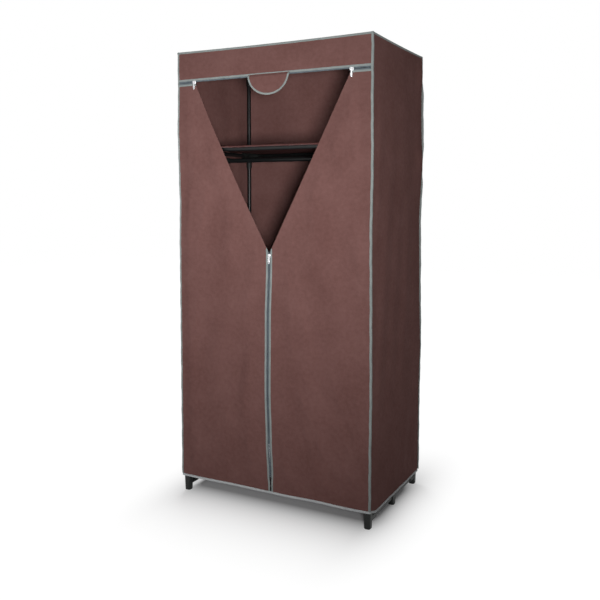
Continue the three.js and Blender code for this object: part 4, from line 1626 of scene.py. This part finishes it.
@dataclass
class HeaderTab:
    """The half-round flap that covers the meeting point of the zips."""

    finishes: Finishes
    stitches: RowMaker
    cloth: float = 0.0008
    binding: float = 0.0018
    edge_width: float = 0.0062
    overhang: float = 0.0004
    columns: int = 56
    rows: int = 22
    crowding: float = 1.3
    edge_points: int = 90
    root: float = 0.0025
    skin: float = 0.0006
    step_run: float = 0.009
    curl: float = 0.0007
    curl_halves: float = 1.3
    curl_lead: float = 0.6
    curl_run: float = 0.05
    bend_start: float = 0.001
    bend_end: float = 0.016
    low: Vector = field(init=False)
    high: Vector = field(init=False)

    def __post_init__(self) -> None:
        """Read the tab's space."""
        self.low, self.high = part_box("header_tab")

    def hung(self, x: Array, drop: Array) -> Array:
        """Points of the tab as it hangs, stepped out over the zip and a little curled.

        Args:
            x: Distance from its middle.
            drop: Distance below its seam.

        Returns:
            The points.
        """
        half = (self.high.x - self.low.x) / 2
        root_y, hung_y = self.high.y - self.skin, self.low.y + self.skin
        wave = np.sin(math.pi * x / half * self.curl_halves + self.curl_lead)
        y = root_y + (hung_y - root_y) * smooth(drop / self.step_run)
        y = y + self.curl * wave * smooth(drop / self.curl_run)
        return np.stack([x, y, self.high.z - drop], -1)

    def build(self) -> list[Object]:
        """Make the tab.

        Returns:
            The pieces.
        """
        half = (self.high.x - self.low.x) / 2
        span = self.high.z - self.low.z - self.root
        across, down = grid(-np.cos(np.linspace(0.0, math.pi, self.columns + 1)),
                            np.linspace(0.0, 1.0, self.rows + 1) ** self.crowding)
        deepest = self.root + span * np.sqrt(np.maximum(0.0, 1.0 - across**2))
        middle = self.hung(half * across, deepest * down)
        cloth = Cloth(middle, plain_facing(across.shape, (0.0, -1.0, 0.0)),
                      np.full(across.shape, self.cloth), middle[..., (0, 2)])
        turn, width = grid(np.linspace(0.0, math.pi, self.edge_points), np.linspace(0.0, 1.0, 7))
        shrink = self.edge_width * (1.0 - width) - self.overhang
        edge = self.hung(-np.cos(turn) * (half - shrink), np.sin(turn) * (span - shrink) + self.root)
        bound = Cloth(edge, plain_facing(turn.shape, (0.0, -1.0, 0.0)),
                      self.binding * soft_edge(width),
                      np.stack([width * self.edge_width, turn * half], -1))
        sheet = dress(cloth.object("header_tab_cloth"), self.finishes.cloth)
        band = dress(bound.object("header_tab_binding"), self.finishes.binding)
        sewn = self.stitches.make("header_tab_stitches", [offset_row(bound, 1, lift=0.0)], 63)
        for piece, slot in ((sheet, "cover_cloth"), (band, "grey_binding"), (sewn, "grey_binding")):
            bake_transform(piece)
        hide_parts("header_tab")
        return [sheet, band, sewn]


@dataclass
class WallPanel:
    """A plain panel of the cover: a side, the back or the roof."""

    wall: Wall
    layout: Layout
    ease: CoverEase
    finishes: Finishes
    seed: int
    bow: float
    fold_height: float
    wrinkle: float = 0.00014
    step: float = 0.008
    rows: int = 190
    cloth: float = 0.0007
    tuck: float = 0.0035
    hem_gap: float = 0.003
    edge_hold: float = 0.05
    foot_hold: Pair = (0.012, 0.08)
    top_hold: float = 0.07
    roof_hold: Pair = (0.16, 0.14)
    upright_squeeze: float = 0.4
    bulges: tuple = ((0.214, 1.53, 0.0065), (0.212, 1.224, 0.007), (0.216, 0.52, 0.003))
    bulge_size: Pair = (0.028, 0.036)

    def side(self, sign: int) -> Cloth:
        """A side panel, which stops higher beside the front feet.

        Args:
            sign: -1 for the left, 1 for the right, which bulges beside its back corner.

        Returns:
            The sheet.
        """
        place = self.layout
        reach, high = place.half_depth - self.tuck, place.top - self.tuck
        y, share = grid(spaced(-reach, reach, self.step), spaced(0.0, 1.0, 1 / self.rows))
        low = hem_height(place, y + place.half_depth) + self.hem_gap
        z = low + (high - low) * share
        out = self.slack(y, z, reach, place.side_hem, high)
        for centre_y, centre_z, push in self.bulges if sign > 0 else ():
            away = ((y - centre_y) / self.bulge_size[0], (z - centre_z) / self.bulge_size[1])
            out = out + push * np.exp(-(away[0] ** 2 + away[1] ** 2))
        x = sign * (place.half_width - place.inset + out)
        return self.closed((x, y, z), (float(sign), 0.0, 0.0), (y, z))

    def back(self) -> Cloth:
        """The back panel.

        Returns:
            The sheet.
        """
        place = self.layout
        reach, high = place.half_width - self.tuck, place.top - self.tuck
        low = place.side_hem + self.hem_gap
        x, z = grid(spaced(-reach, reach, self.step), spaced(low, high, self.step))
        out = self.slack(x, z, reach, place.side_hem, high)
        return self.closed((x, place.half_depth - place.inset + out, z), (0.0, 1.0, 0.0), (x, z))

    def roof(self) -> Cloth:
        """The roof panel, which sags between the top tubes.

        Returns:
            The sheet.
        """
        place = self.layout
        reach_x, reach_y = place.half_width - self.tuck, place.half_depth - self.tuck
        x, y = grid(spaced(-reach_x, reach_x, self.step), spaced(-reach_y, reach_y, self.step))
        held = smooth((reach_x - np.abs(x)) / self.roof_hold[0])
        held = held * smooth((reach_y - np.abs(y)) / self.roof_hold[1])
        ripples = Ripples(self.seed, 0.15, 0.45, count=7, lean=1.4).at(x, y)
        sag = held * (self.bow + self.fold_height * ripples)
        z = place.top - place.inset - np.maximum(sag, 0.0)
        return self.closed((x, y, z), (0.0, 0.0, 1.0), (x, y))

    def slack(self, across: Array, up: Array, reach: float, low: float, high: float) -> Array:
        """How far a hung panel bellies out, with soft upright folds.

        Args:
            across: Distances from its middle.
            up: Heights.
            reach: Half its width.
            low: Its foot.
            high: Its top.

        Returns:
            How far each place stands out, in metres.
        """
        held = smooth((reach - np.abs(across)) / self.edge_hold)
        held = held * rising(up - low, *self.foot_hold) * smooth((high - up) / self.top_hold)
        belly = np.cos(math.pi * across / (2 * reach)) * np.sin(math.pi * (up - low) / (high - low))
        folds = Ripples(self.seed, 0.09, 0.3, count=9, lean=0.28)
        small = Ripples(self.seed + 1, 0.03, 0.08, count=9, lean=1.3)
        rest = self.bow * belly + self.wrinkle * small.at(across, up)
        rest = rest + self.fold_height * (0.9 + folds.at(across, up * self.upright_squeeze))
        return held * np.maximum(rest, 0.0)

    def closed(self, places: tuple, way: Triple, uv: tuple) -> Cloth:
        """Bend the middle surface with the cover and give it its thickness."""
        middle = self.ease.bend(np.stack(places, -1))
        shape = middle.shape[:2]
        return Cloth(middle, plain_facing(shape, way), np.full(shape, self.cloth), np.stack(uv, -1))

    def build(self) -> Object:
        """Make the panel's piece.

        Returns:
            The piece.
        """
        place, wall = self.layout, self.wall
        depth, width, tall = 2 * place.half_depth, 2 * place.half_width, place.top - place.side_hem
        if wall is Wall.ROOF:
            cloth, flat = self.roof(), (width, depth)
        elif wall is Wall.BACK:
            cloth, flat = self.back(), (width, tall)
        else:
            cloth, flat = self.side(-1 if wall is Wall.LEFT else 1), (depth, tall)
        piece = dress(cloth.object(wall.piece), self.finishes.cloth)
        settle(piece, "cover_cloth", wall.node)
        return piece


def hem_height(place: Layout, from_front: Array, ramp: float = 0.055) -> Array:
    """Height of the hem's foot at a distance back from the front."""
    rise = place.front_hem - place.side_hem
    return place.side_hem + rise * (1.0 - smooth(from_front / ramp))


def rounded(points: list[Pair], radius: float, steps: int = 3) -> Array:
    """Round the corners of a closed outline.

    Args:
        points: Its corners in order.
        radius: The largest rounding.
        steps: How many edges each rounding has.

    Returns:
        The rounded outline.
    """
    out = []
    count = len(points)
    for i, corner in enumerate(points):
        here = np.array(corner)
        before, after = np.array(points[i - 1]), np.array(points[(i + 1) % count])
        reach = min(radius, np.linalg.norm(before - here) / 2.2, np.linalg.norm(after - here) / 2.2)
        start = here + (before - here) / np.linalg.norm(before - here) * reach
        end = here + (after - here) / np.linalg.norm(after - here) * reach
        for share in np.linspace(0.0, 1.0, steps + 1):
            out.append((1 - share) ** 2 * start + 2 * share * (1 - share) * here + share**2 * end)
    return np.array(out)


@dataclass
class CornerPiping:
    """The folded tape that binds the seams at the corners and round the roof."""

    layout: Layout
    ease: CoverEase
    finishes: Finishes
    stitches: RowMaker
    width: float = 0.0072
    proud: float = 0.0008
    bevel: float = 0.0022
    edge: float = 0.0022
    rounding: float = 0.0011
    flange: float = 0.0058
    flange_rounding: float = 0.0008
    tuck: Course = Course((0.1, 0.5, 0.75, 0.92, 1.12, 1.17, 1.22, 1.28, 1.46, 1.52),
                          (0.003, 0.0032, 0.0018, 0.0008, 0.001, 0.005, 0.005, 0.0, 0.0, 0.005))
    waves: tuple = ((0.0003, 61.0), (0.0002, 143.0))
    step: float = 0.01
    foot_gap: float = 0.0082
    top_gap: float = 0.002
    seam: float = 0.0056
    seam_step: float = 0.012
    seam_gap: float = 0.008

    def outline(self) -> Array:
        """Outline across the tape, measured in from the outer corner."""
        c, w, e = self.bevel, self.width, self.edge
        corners = [(0.0, w), (0.0, c), (c * 0.35, c * 0.35), (c, 0.0), (w, 0.0), (w, e), (e, e * 1.4),
                   (e, w)]
        return rounded(corners, self.rounding)

    def flange_outline(self) -> Array:
        """Outline across a tape that stands out sideways from its corner."""
        return rounded([(-self.flange, self.edge), (-self.flange, 0.0), (self.width, 0.0),
                        (self.width, self.edge)], self.flange_rounding)

    def stands_out(self, sign_x: int, sign_y: int) -> bool:
        """Whether a corner's tape stands out sideways, as the one at the back right does."""
        return sign_x > 0 and sign_y > 0

    def upright(self, sign_x: int, sign_y: int) -> Object:
        """The tape down one corner.

        Args:
            sign_x: -1 for the left.
            sign_y: -1 for the front.

        Returns:
            The tape.
        """
        place = self.layout
        low = (place.front_hem if sign_y < 0 else place.side_hem) + self.foot_gap
        z = spaced(low, place.top - self.top_gap, self.step)
        x = np.full(z.shape, sign_x * (place.half_width + self.proud))
        y = np.full(z.shape, sign_y * (place.half_depth + self.proud))
        outline = self.outline()
        if self.stands_out(sign_x, sign_y):
            x -= self.tuck.at(z)
            outline = self.flange_outline()
        (tall, slow), (short, quick) = self.waves
        wave = tall * np.sin(z * slow + sign_x) + short * np.sin(z * quick + sign_y)
        path = self.ease.bend(np.stack([x, y, z], -1)) + np.stack([wave, wave, 0 * wave], -1)
        first = plain_facing(z.shape, (-sign_x, 0.0, 0.0))
        second = plain_facing(z.shape, (0.0, -sign_y, 0.0))
        return sweep("upright", path, first, second, outline)

    def level(self, along_x: bool, sign: int) -> Object:
        """The tape along one edge of the roof.

        Args:
            along_x: Whether it runs from side to side.
            sign: Which of the two edges it is on.

        Returns:
            The tape.
        """
        place = self.layout
        reach, across = place.half_depth + self.proud, place.half_width + self.proud
        if along_x:
            reach, across = across, reach
        run = spaced(-reach + place.inset, reach - place.inset, self.step)
        fixed = np.full(run.shape, sign * across)
        z = np.full(run.shape, place.top + self.proud)
        flat = np.stack([run, fixed, z] if along_x else [fixed, run, z], -1)
        first = plain_facing(run.shape, (0.0, -sign, 0.0) if along_x else (-sign, 0.0, 0.0))
        second = plain_facing(run.shape, (0.0, 0.0, -1.0))
        return sweep("level", self.ease.bend(flat), first, second, self.outline())

    def stitched(self, x: Array | float, y: Array | float, z: Array | float, way: Triple) -> Row:
        """One stitch line through places on the flat cover."""
        places = np.stack(np.broadcast_arrays(x, y, z), -1)
        return Row(self.ease.bend(places), plain_facing(places.shape[:1], way))

    def seams(self) -> list[Row]:
        """Stitch lines on both faces of each tape.

        Returns:
            One row for each line.
        """
        place, gap, step = self.layout, self.seam_gap, self.seam_step
        lift = self.proud + THREAD_LIFT
        face_x, face_y, face_z = place.half_width + lift, place.half_depth + lift, place.top + lift
        inward = self.seam - self.proud
        seam_x, seam_y, seam_z = (place.half_width - inward, place.half_depth - inward,
                                  place.top - inward)
        rows = []
        for sign_x in (-1, 1):
            for sign_y in (-1, 1):
                low = (place.front_hem if sign_y < 0 else place.side_hem) + step
                z = spaced(low, place.top - gap, step)
                rows.append(self.stitched(sign_x * seam_x, sign_y * face_y, z, (0.0, sign_y, 0.0)))
                if not self.stands_out(sign_x, sign_y):
                    x, y = sign_x * face_x, sign_y * seam_y
                    rows.append(self.stitched(x, y, z, (sign_x, 0.0, 0.0)))
        x = spaced(-place.half_width + gap, place.half_width - gap, step)
        y = spaced(-place.half_depth + gap, place.half_depth - gap, step)
        for sign in (-1, 1):
            rows.append(self.stitched(x, sign * face_y, seam_z, (0.0, sign, 0.0)))
            rows.append(self.stitched(x, sign * seam_y, face_z, (0.0, 0.0, 1.0)))
            rows.append(self.stitched(sign * face_x, y, seam_z, (sign, 0.0, 0.0)))
            rows.append(self.stitched(sign * seam_x, y, face_z, (0.0, 0.0, 1.0)))
        return rows

    def build(self) -> list[Object]:
        """Make the piping and its stitches.

        Returns:
            The pieces.
        """
        parts = [self.upright(sign_x, sign_y) for sign_x in (-1, 1) for sign_y in (-1, 1)]
        parts += [self.level(along_x, sign) for sign in (-1, 1) for along_x in (True, False)]
        tape = dress(merged("cover_piping_tape", parts), self.finishes.binding)
        sewn = self.stitches.make("cover_piping_stitches", self.seams(), 64)
        settle(tape, "grey_binding", "cover_piping")
        settle(sewn, "grey_binding")
        return [tape, sewn]


@dataclass
class HemTape:
    """The tape that binds the cover's foot all round."""

    layout: Layout
    finishes: Finishes
    stitches: RowMaker
    height: float = 0.008
    thick: float = 0.0024
    corner: float = 0.006
    corner_steps: int = 6
    step: float = 0.008
    rounding: float = 0.0009
    waver: float = 0.0009
    seam_drop: float = 0.0014

    def path(self) -> tuple[Array, Array]:
        """The way round the hem at its foot, and the way outwards at each point.

        Returns:
            The points, and a unit direction for each.
        """
        place = self.layout
        x, y = place.half_width - place.inset, place.half_depth - place.inset
        arcs = []
        for sign_x, sign_y, first in ((1, -1, -90.0), (1, 1, 0.0), (-1, 1, 90.0), (-1, -1, 180.0)):
            turn = np.radians(first + 90.0 * np.arange(self.corner_steps + 1) / self.corner_steps)
            ways = np.stack([np.cos(turn), np.sin(turn)], -1)
            centre = np.array([sign_x * (x - self.corner), sign_y * (y - self.corner)])
            arcs.append((centre + ways * self.corner, ways))
        places, facings = [], []
        for number, (points, ways) in enumerate(arcs):
            start, out = arcs[number - 1][0][-1], arcs[number - 1][1][-1]
            run = points[0] - start
            count = max(2, round(float(np.linalg.norm(run)) / self.step))
            places += [start + run * np.arange(1, count)[:, None] / count, points]
            facings += [np.tile(out, (count - 1, 1)), ways]
        flat, outward = np.concatenate(places), np.concatenate(facings)
        east, north = flat.T
        ripples = Ripples(87, 0.15, 0.5, count=6, lean=0.3).at(east + north * 0.7, north)
        z = hem_height(place, north + place.half_depth) + self.waver * ripples
        return np.column_stack([flat, z]), np.column_stack([outward, np.zeros(len(z))])

    def build(self) -> list[Object]:
        """Make the tape and its stitches.

        Returns:
            The pieces.
        """
        path, outward = self.path()
        half, tall = self.thick / 2, self.height
        outline = rounded([(half, 0.0), (half, tall), (-half, tall), (-half, 0.0)], self.rounding)
        up = plain_facing((len(path),), (0.0, 0.0, 1.0))
        tape = sweep("hem_tape", path, outward, up, outline, closed=True)
        # This colour is painted lighter, standing in for light bounced up from the floor.
        dress(tape, self.finishes.hem)
        line = path + outward * (half + THREAD_LIFT) + up * (tall - self.seam_drop)
        sewn = self.stitches.make("hem_stitches", [Row(line, outward)], 65)
        settle(tape, "grey_binding", "hem_binding")
        settle(sewn, "grey_binding")
        return [tape, sewn]


# Inside


@dataclass
class ShelfDeck:
    """The cloth shelf, stretched over the shelf tubes and dished between them."""

    finishes: Finishes
    stitches: RowMaker
    cloth: float = 0.0010
    hem_cloth: float = 0.0013
    over_tube: float = 0.0009
    step: float = 0.006
    front_drop: float = 0.0048
    hem_inset: float = 0.0007
    hem_lift: float = 0.0002
    hem_end: float = 0.056
    hem_step: float = 0.008
    notch: float = 0.0116
    hump: float = 0.003
    hump_run: float = 0.04
    corner_reach: float = 0.108
    bracket_reach: float = 0.071
    bracket_half: Pair = (0.034, 0.06)
    dish: float = 0.008
    dish_edge: float = 0.016
    dish_run: float = 0.11
    ripple: float = 0.0007
    seam_allowance: float = 0.01

    def height(self, x: Array, y: Array, level: float, post: tuple) -> Array:
        """Height of the deck: humps over its connectors and brackets, and a dish between them.

        Args:
            x: Places across.
            y: Places from front to back.
            level: Height over the tubes.
            post: The right back post.

        Returns:
            One height for each place.
        """
        from_x, from_y = post[0] - np.abs(x), post[1] - np.abs(y)
        corner = smooth((self.corner_reach - from_x) / self.hump_run)
        corner = corner * smooth((self.corner_reach - from_y) / self.hump_run)
        bracket = smooth((self.bracket_reach - from_x) / self.hump_run)
        bracket = bracket * (1.0 - rising(np.abs(y), *self.bracket_half))
        dish = rising(from_x, self.dish_edge, self.dish_run)
        dish = dish * rising(from_y, self.dish_edge, self.dish_run)
        ripples = Ripples(91, 0.08, 0.3, count=9, lean=1.5).at(x, y)
        hump = self.hump * np.maximum(corner, bracket)
        return level + hump + dish * (self.ripple * ripples - self.dish)

    def clear_of_posts(self, x: Array, y: Array, post: tuple) -> tuple:
        """Push the cloth's places out of a round notch at each post.

        Args:
            x: Places across.
            y: Places from front to back.
            post: The right back post.

        Returns:
            The moved places.
        """
        for sign_x in (-1, 1):
            for sign_y in (-1, 1):
                away_x, away_y = x - sign_x * post[0], y - sign_y * post[1]
                gap = np.hypot(away_x, away_y)
                inside = gap < self.notch
                scale = self.notch / np.maximum(gap, WELD)
                x = np.where(inside, sign_x * (post[0] - np.abs(away_x) * scale), x)
                y = np.where(inside, sign_y * (post[1] - np.abs(away_y) * scale), y)
        return x, y

    def hem(self, sign: int, far: Vector, level: float) -> Cloth:
        """The hem that hangs over the front or back tube.

        Args:
            sign: -1 for the front.
            far: The deck's far corner.
            level: Height over the tubes.

        Returns:
            The sheet.
        """
        reach = far.x - self.hem_end
        run, drop = grid(spaced(-reach, reach, self.hem_step), np.linspace(0.0, self.front_drop, 4))
        y = np.full(run.shape, sign * (far.y - self.hem_inset))
        return Cloth(np.stack([run, y, level + self.hem_lift - drop], -1),
                     plain_facing(run.shape, (0.0, float(sign), 0.0)),
                     np.full(run.shape, self.hem_cloth), np.stack([run, drop], -1))

    def build(self) -> list[Object]:
        """Make the deck and its stitches.

        Returns:
            The pieces.
        """
        low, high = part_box("shelf_deck")
        tube_low, tube_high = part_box("shelf_tube_front")
        post = (high.x, -(tube_low.y + tube_high.y) / 2)
        level = tube_high.z + self.over_tube
        flat = grid(spaced(low.x, high.x, self.step), spaced(low.y, high.y, self.step))
        x, y = self.clear_of_posts(*flat, post)
        shape = x.shape
        deck = Cloth(np.stack([x, y, self.height(x, y, level, post)], -1),
                     plain_facing(shape, (0.0, 0.0, 1.0)), np.full(shape, self.cloth),
                     np.stack(flat, -1))
        hems = [self.hem(sign, high, level) for sign in (-1, 1)]
        piece = merged("shelf_deck_cloth", [part.object("part") for part in (deck, *hems)])
        dress(piece, self.finishes.deck)
        sewn = self.stitches.make("shelf_deck_stitches", [offset_row(hem, 2) for hem in hems], 66)
        settle(piece, "shelf_cloth", "shelf_deck")
        settle(sewn, "shelf_cloth")
        return [piece, sewn]


@dataclass
class TubeFrame:
    """The steel tubes: round, hollow, with edges broken at their ends."""

    finishes: Finishes
    wall: float = 0.0008
    around: int = 40
    edge: float = 0.0003
    sharp: float = 30.0

    def tube(self, node: str) -> Object:
        """Make the tube that stands for a node.

        Args:
            node: Name of the solid.

        Returns:
            The tube.
        """
        low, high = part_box(node)
        size, middle = high - low, (low + high) / 2
        axis = max(range(3), key=lambda i: size[i])
        first, second = [i for i in range(3) if i != axis]
        radius, half, edge = min(size) / 2, size[axis] / 2, self.edge
        inner = radius - self.wall
        profile = [(radius, -half + edge), (radius, half - edge), (radius - edge, half),
                   (inner, half), (inner, -half), (radius - edge, -half)]
        verts = []
        for reach, along in profile:
            for angle in np.linspace(0.0, math.tau, self.around, endpoint=False):
                point = list(middle)
                point[axis] += along
                point[first] += reach * math.cos(angle)
                point[second] += reach * math.sin(angle)
                verts.append(point)
        index = np.arange(len(verts)).reshape(len(profile), self.around)
        after, ring = np.roll(index, -1, axis=1), np.roll(index, -1, axis=0)
        across = np.roll(ring, -1, axis=1)
        faces = np.stack([index, after, across, ring], -1).reshape(-1, 4).tolist()
        piece = new_object(f"{node}_coated", np.array(verts), faces, sharp=self.sharp)
        return dress(piece, self.finishes.steel)

    def build(self) -> list[Object]:
        """Make every tube.

        Returns:
            The pieces.
        """
        pieces = []
        for node in sorted(n for n, slot in SLOTS.items() if slot == "tube_steel"):
            piece = self.tube(node)
            settle(piece, "tube_steel", node)
            pieces.append(piece)
        return pieces


@dataclass
class Mouldings:
    """Connectors, feet, brackets, sliders and pulls, with the edges of their solids eased."""

    finishes: Finishes
    plastic_edge: float = 0.0008
    metal_edge: float = 0.00022
    segments: int = 2
    flat_angle: float = 1.0
    edge_angle: float = 32.0
    sharp_angle: float = 35.0

    def eased(self, node: str, width: float) -> Object:
        """Copy a solid and round its edges.

        Args:
            node: Name of the solid.
            width: Width of the rounding.

        Returns:
            The rounded copy.
        """
        source = frame["nodes"][node]
        mesh = source.data.copy()
        work = bmesh.new()
        work.from_mesh(mesh)
        work.transform(source.matrix_world)
        bmesh.ops.remove_doubles(work, verts=work.verts, dist=WELD)
        bmesh.ops.dissolve_limit(work, angle_limit=math.radians(self.flat_angle),
                                 verts=work.verts, edges=work.edges)
        work.to_mesh(mesh)
        work.free()
        piece = linked(f"{node}_moulded", mesh)
        bevel = piece.modifiers.new("edge", "BEVEL")
        bevel.width = width
        bevel.segments = self.segments
        bevel.limit_method = "ANGLE"
        bevel.angle_limit = math.radians(self.edge_angle)
        worked(piece, bevel)
        piece.data.shade_smooth()
        piece.data.set_sharp_from_angle(angle=math.radians(self.sharp_angle))
        return piece

    def build(self) -> list[Object]:
        """Dress every moulded and cast piece.

        Returns:
            The pieces.
        """
        bodies = frame["record"]["behaviour"]["bodies"]
        body_of = {node: body for body, nodes in bodies.items() for node in nodes}
        looks = {"connector_plastic": (self.plastic_edge, self.finishes.plastic),
                 "bright_metal": (self.metal_edge, self.finishes.zinc)}
        pieces = []
        for node, slot in sorted(SLOTS.items()):
            if slot in looks:
                width, material = looks[slot]
                piece = dress(self.eased(node, width), material)
                settle(piece, slot, node, body=body_of[node])
                pieces.append(piece)
        return pieces


# Studio


class Wiring(TreeBuilder):
    """A tree that starts empty, for the world and the floor."""

    def __init__(self, tree: bpy.types.NodeTree) -> None:
        """Empty the tree."""
        super().__init__(tree)
        tree.nodes.clear()

    def seen(self) -> Socket:
        """One for rays that come from the camera, a gloss or a clear body, and nought for others.

        Returns:
            The share.
        """
        path = self.node("ShaderNodeLightPath").outputs
        mirrored = self.step("ShaderNodeMath", "MAXIMUM", path["Is Glossy Ray"],
                             path["Is Transmission Ray"]).outputs[0]
        return self.step("ShaderNodeMath", "MAXIMUM", path["Is Camera Ray"], mirrored).outputs[0]


@dataclass(frozen=True)
class Lamp:
    """A soft box: where it stands, what it points at, its size, power and spread in degrees."""

    name: str
    place: Triple
    target: Triple
    size: float
    power: float
    spread: float

    def build(self) -> None:
        """Add the lamp."""
        light = bpy.data.lights.new(self.name, "AREA")
        light.spread = math.radians(self.spread)
        light.shape = "SQUARE"
        light.size = self.size
        light.energy = self.power
        lamp = linked(self.name, light)
        lamp.location = self.place
        way = Vector(self.target) - Vector(self.place)
        lamp.rotation_euler = way.to_track_quat("-Z", "Y").to_euler()


@dataclass
class Studio:
    """Pale floor, white background, soft lamps and the camera."""

    camera_place: Triple = (1.261, -2.426, 1.087)
    yaw: float = 27.60
    pitch: float = -4.0
    focal: float = 743.0
    image: float = 600.0
    sensor: float = 36.0
    horizon: float = 248.8
    sky: float = 0.08
    floor_size: float = 16.0
    floor_cells: int = 40
    # These set where the floor's glow is held back round the foot. The darker floor left there is a
    # painted contact shadow, laid over the lamps' real shadow.
    shade_core: Triple = (0.33, 0.11, 1.0)
    shade_reach: Triple = (2.5, 1.0, 1.0)
    shade_start: float = 0.06
    shade_fall: float = 6.0
    glow: float = 1.05
    floor_color: tuple[float, float, float, float] = (0.93, 0.93, 0.94, 1.0)
    lamps: tuple = (
        Lamp("key_softbox", (1.42, -2.45, 1.0), (-0.35, -0.25, 1.28), 0.35, 11.6, 70.0),
        Lamp("left_softbox", (-0.6, -2.5, 1.1), (-0.1, -0.25, 1.05), 0.6, 2.6, 90.0),
        Lamp("back_softbox", (-1.5, 2.0, 3.3), (0.0, 0.0, 0.9), 1.2, 44.0, 180.0),
    )

    def camera(self) -> None:
        """Stand the camera where the photograph was taken from."""
        lens = bpy.data.cameras.new("camera")
        lens.sensor_width = self.sensor
        lens.sensor_fit = "HORIZONTAL"
        lens.lens = self.focal / self.image * self.sensor
        lens.shift_y = (self.horizon - self.image / 2) / self.image
        eye = linked("camera", lens)
        eye.location = self.camera_place
        eye.rotation_euler = (math.radians(90.0 + self.pitch), 0.0, math.radians(self.yaw))
        bpy.context.scene.camera = eye

    def world(self) -> None:
        """Light the object softly from all round, and show white behind it."""
        world = bpy.data.worlds.new("studio")
        bpy.context.scene.world = world
        world.use_nodes = True
        wiring = Wiring(world.node_tree)
        strength = wiring.step("ShaderNodeMapRange", None, wiring.seen(), 0.0, 1.0, self.sky, 1.0)
        light = wiring.step("ShaderNodeBackground", None, (1.0, 1.0, 1.0, 1.0), strength.outputs[0])
        wiring.step("ShaderNodeOutputWorld", None, light.outputs[0])

    def floor_material(self) -> Material:
        """Pale floor that fades into the white background away from the object's foot. The fade is
        shaped like the object's contact shadow, so the darker floor near the foot is partly painted
        shadow and partly the lamps' real shadow.

        Returns:
            The material.
        """
        material = bpy.data.materials.new("pale_floor")
        material.use_nodes = True
        wiring = Wiring(material.node_tree)
        place = wiring.node("ShaderNodeTexCoord").outputs["Object"]
        for operation, *values in (("ABSOLUTE",), ("SUBTRACT", self.shade_core),
                                   ("MAXIMUM", (0.0, 0.0, 0.0)), ("MULTIPLY", self.shade_reach)):
            place = wiring.step("ShaderNodeVectorMath", operation, place, *values).outputs[0]
        away = wiring.step("ShaderNodeVectorMath", "LENGTH", place).outputs["Value"]
        for operation, *values in (("SUBTRACT", self.shade_start), ("MAXIMUM", 0.0),
                                   ("MULTIPLY", -self.shade_fall), ("EXPONENT",)):
            away = wiring.step("ShaderNodeMath", operation, away, *values).outputs[0]
        # Share of white glow: nought at the foot, where the floor shows painted shadow, rising to one
        # farther out.
        white = wiring.step("ShaderNodeMath", "SUBTRACT", 1.0, away).outputs[0]
        share = wiring.step("ShaderNodeMath", "MULTIPLY", white, wiring.seen()).outputs[0]
        matt = wiring.step("ShaderNodeBsdfDiffuse", None, self.floor_color).outputs[0]
        bright = wiring.step("ShaderNodeEmission", None, (1.0, 1.0, 1.0, 1.0), self.glow).outputs[0]
        mix = wiring.step("ShaderNodeMixShader", None, share, matt, bright)
        wiring.step("ShaderNodeOutputMaterial", None, mix.outputs[0])
        return material

    def floor(self) -> None:
        """Lay the flat floor."""
        steps = np.linspace(-self.floor_size / 2, self.floor_size / 2, self.floor_cells + 1)
        x, y = grid(steps, steps)
        verts = np.stack([x, y, np.zeros(x.shape)], -1).reshape(-1, 3)
        index = np.arange(verts.shape[0]).reshape(x.shape)
        faces = np.stack([index[:-1, :-1], index[:-1, 1:], index[1:, 1:], index[1:, :-1]], -1)
        mesh = bpy.data.meshes.new("floor")
        mesh.from_pydata(verts.tolist(), [], faces.reshape(-1, 4).tolist())
        mesh.materials.append(self.floor_material())
        linked("floor", mesh)

    def build(self) -> None:
        """Set up the studio."""
        bpy.context.scene.view_settings.view_transform = "Standard"
        self.camera()
        self.world()
        self.floor()
        for lamp in self.lamps:
            lamp.build()


# Main


def main() -> None:
    """Build the wardrobe and the studio, and report each piece."""
    logging.basicConfig(level=logging.INFO, format="%(message)s")
    Studio().build()
    place = Layout.read()
    ease = CoverEase(place)
    finishes = Finishes()
    stitches = RowMaker(RowShape.STITCH, finishes.thread, pitch=0.0042, length=0.0031,
                        width=0.00055, height=0.00045, tilt=0.06)
    teeth = RowMaker(RowShape.TOOTH, finishes.teeth, pitch=0.0019, length=0.00125,
                     width=0.0036, height=0.0020)
    pieces: list[Object] = []
    for side in Side:
        pieces += FrontDoor(place, ease, side, finishes, stitches, teeth).build()
    pieces += HeaderPanel(place, ease, finishes, stitches, teeth).build()
    pieces += HeaderTab(finishes, stitches).build()
    for wall, seed, bow, fold_height in (
        (Wall.LEFT, 31, 0.0035, 0.0014),
        (Wall.RIGHT, 37, 0.0035, 0.0014),
        (Wall.BACK, 41, 0.003, 0.0014),
        (Wall.ROOF, 43, 0.006, 0.0012),
    ):
        pieces.append(WallPanel(wall, place, ease, finishes, seed, bow, fold_height).build())
    pieces += CornerPiping(place, ease, finishes, stitches).build()
    pieces += HemTape(place, finishes, stitches).build()
    pieces += ShelfDeck(finishes, stitches).build()
    pieces += TubeFrame(finishes).build()
    pieces += Mouldings(finishes).build()
    for piece in pieces:
        LOG.info("%s: %d faces", piece.name, len(piece.data.polygons))
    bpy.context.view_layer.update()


if __name__ == "__main__":
    main()
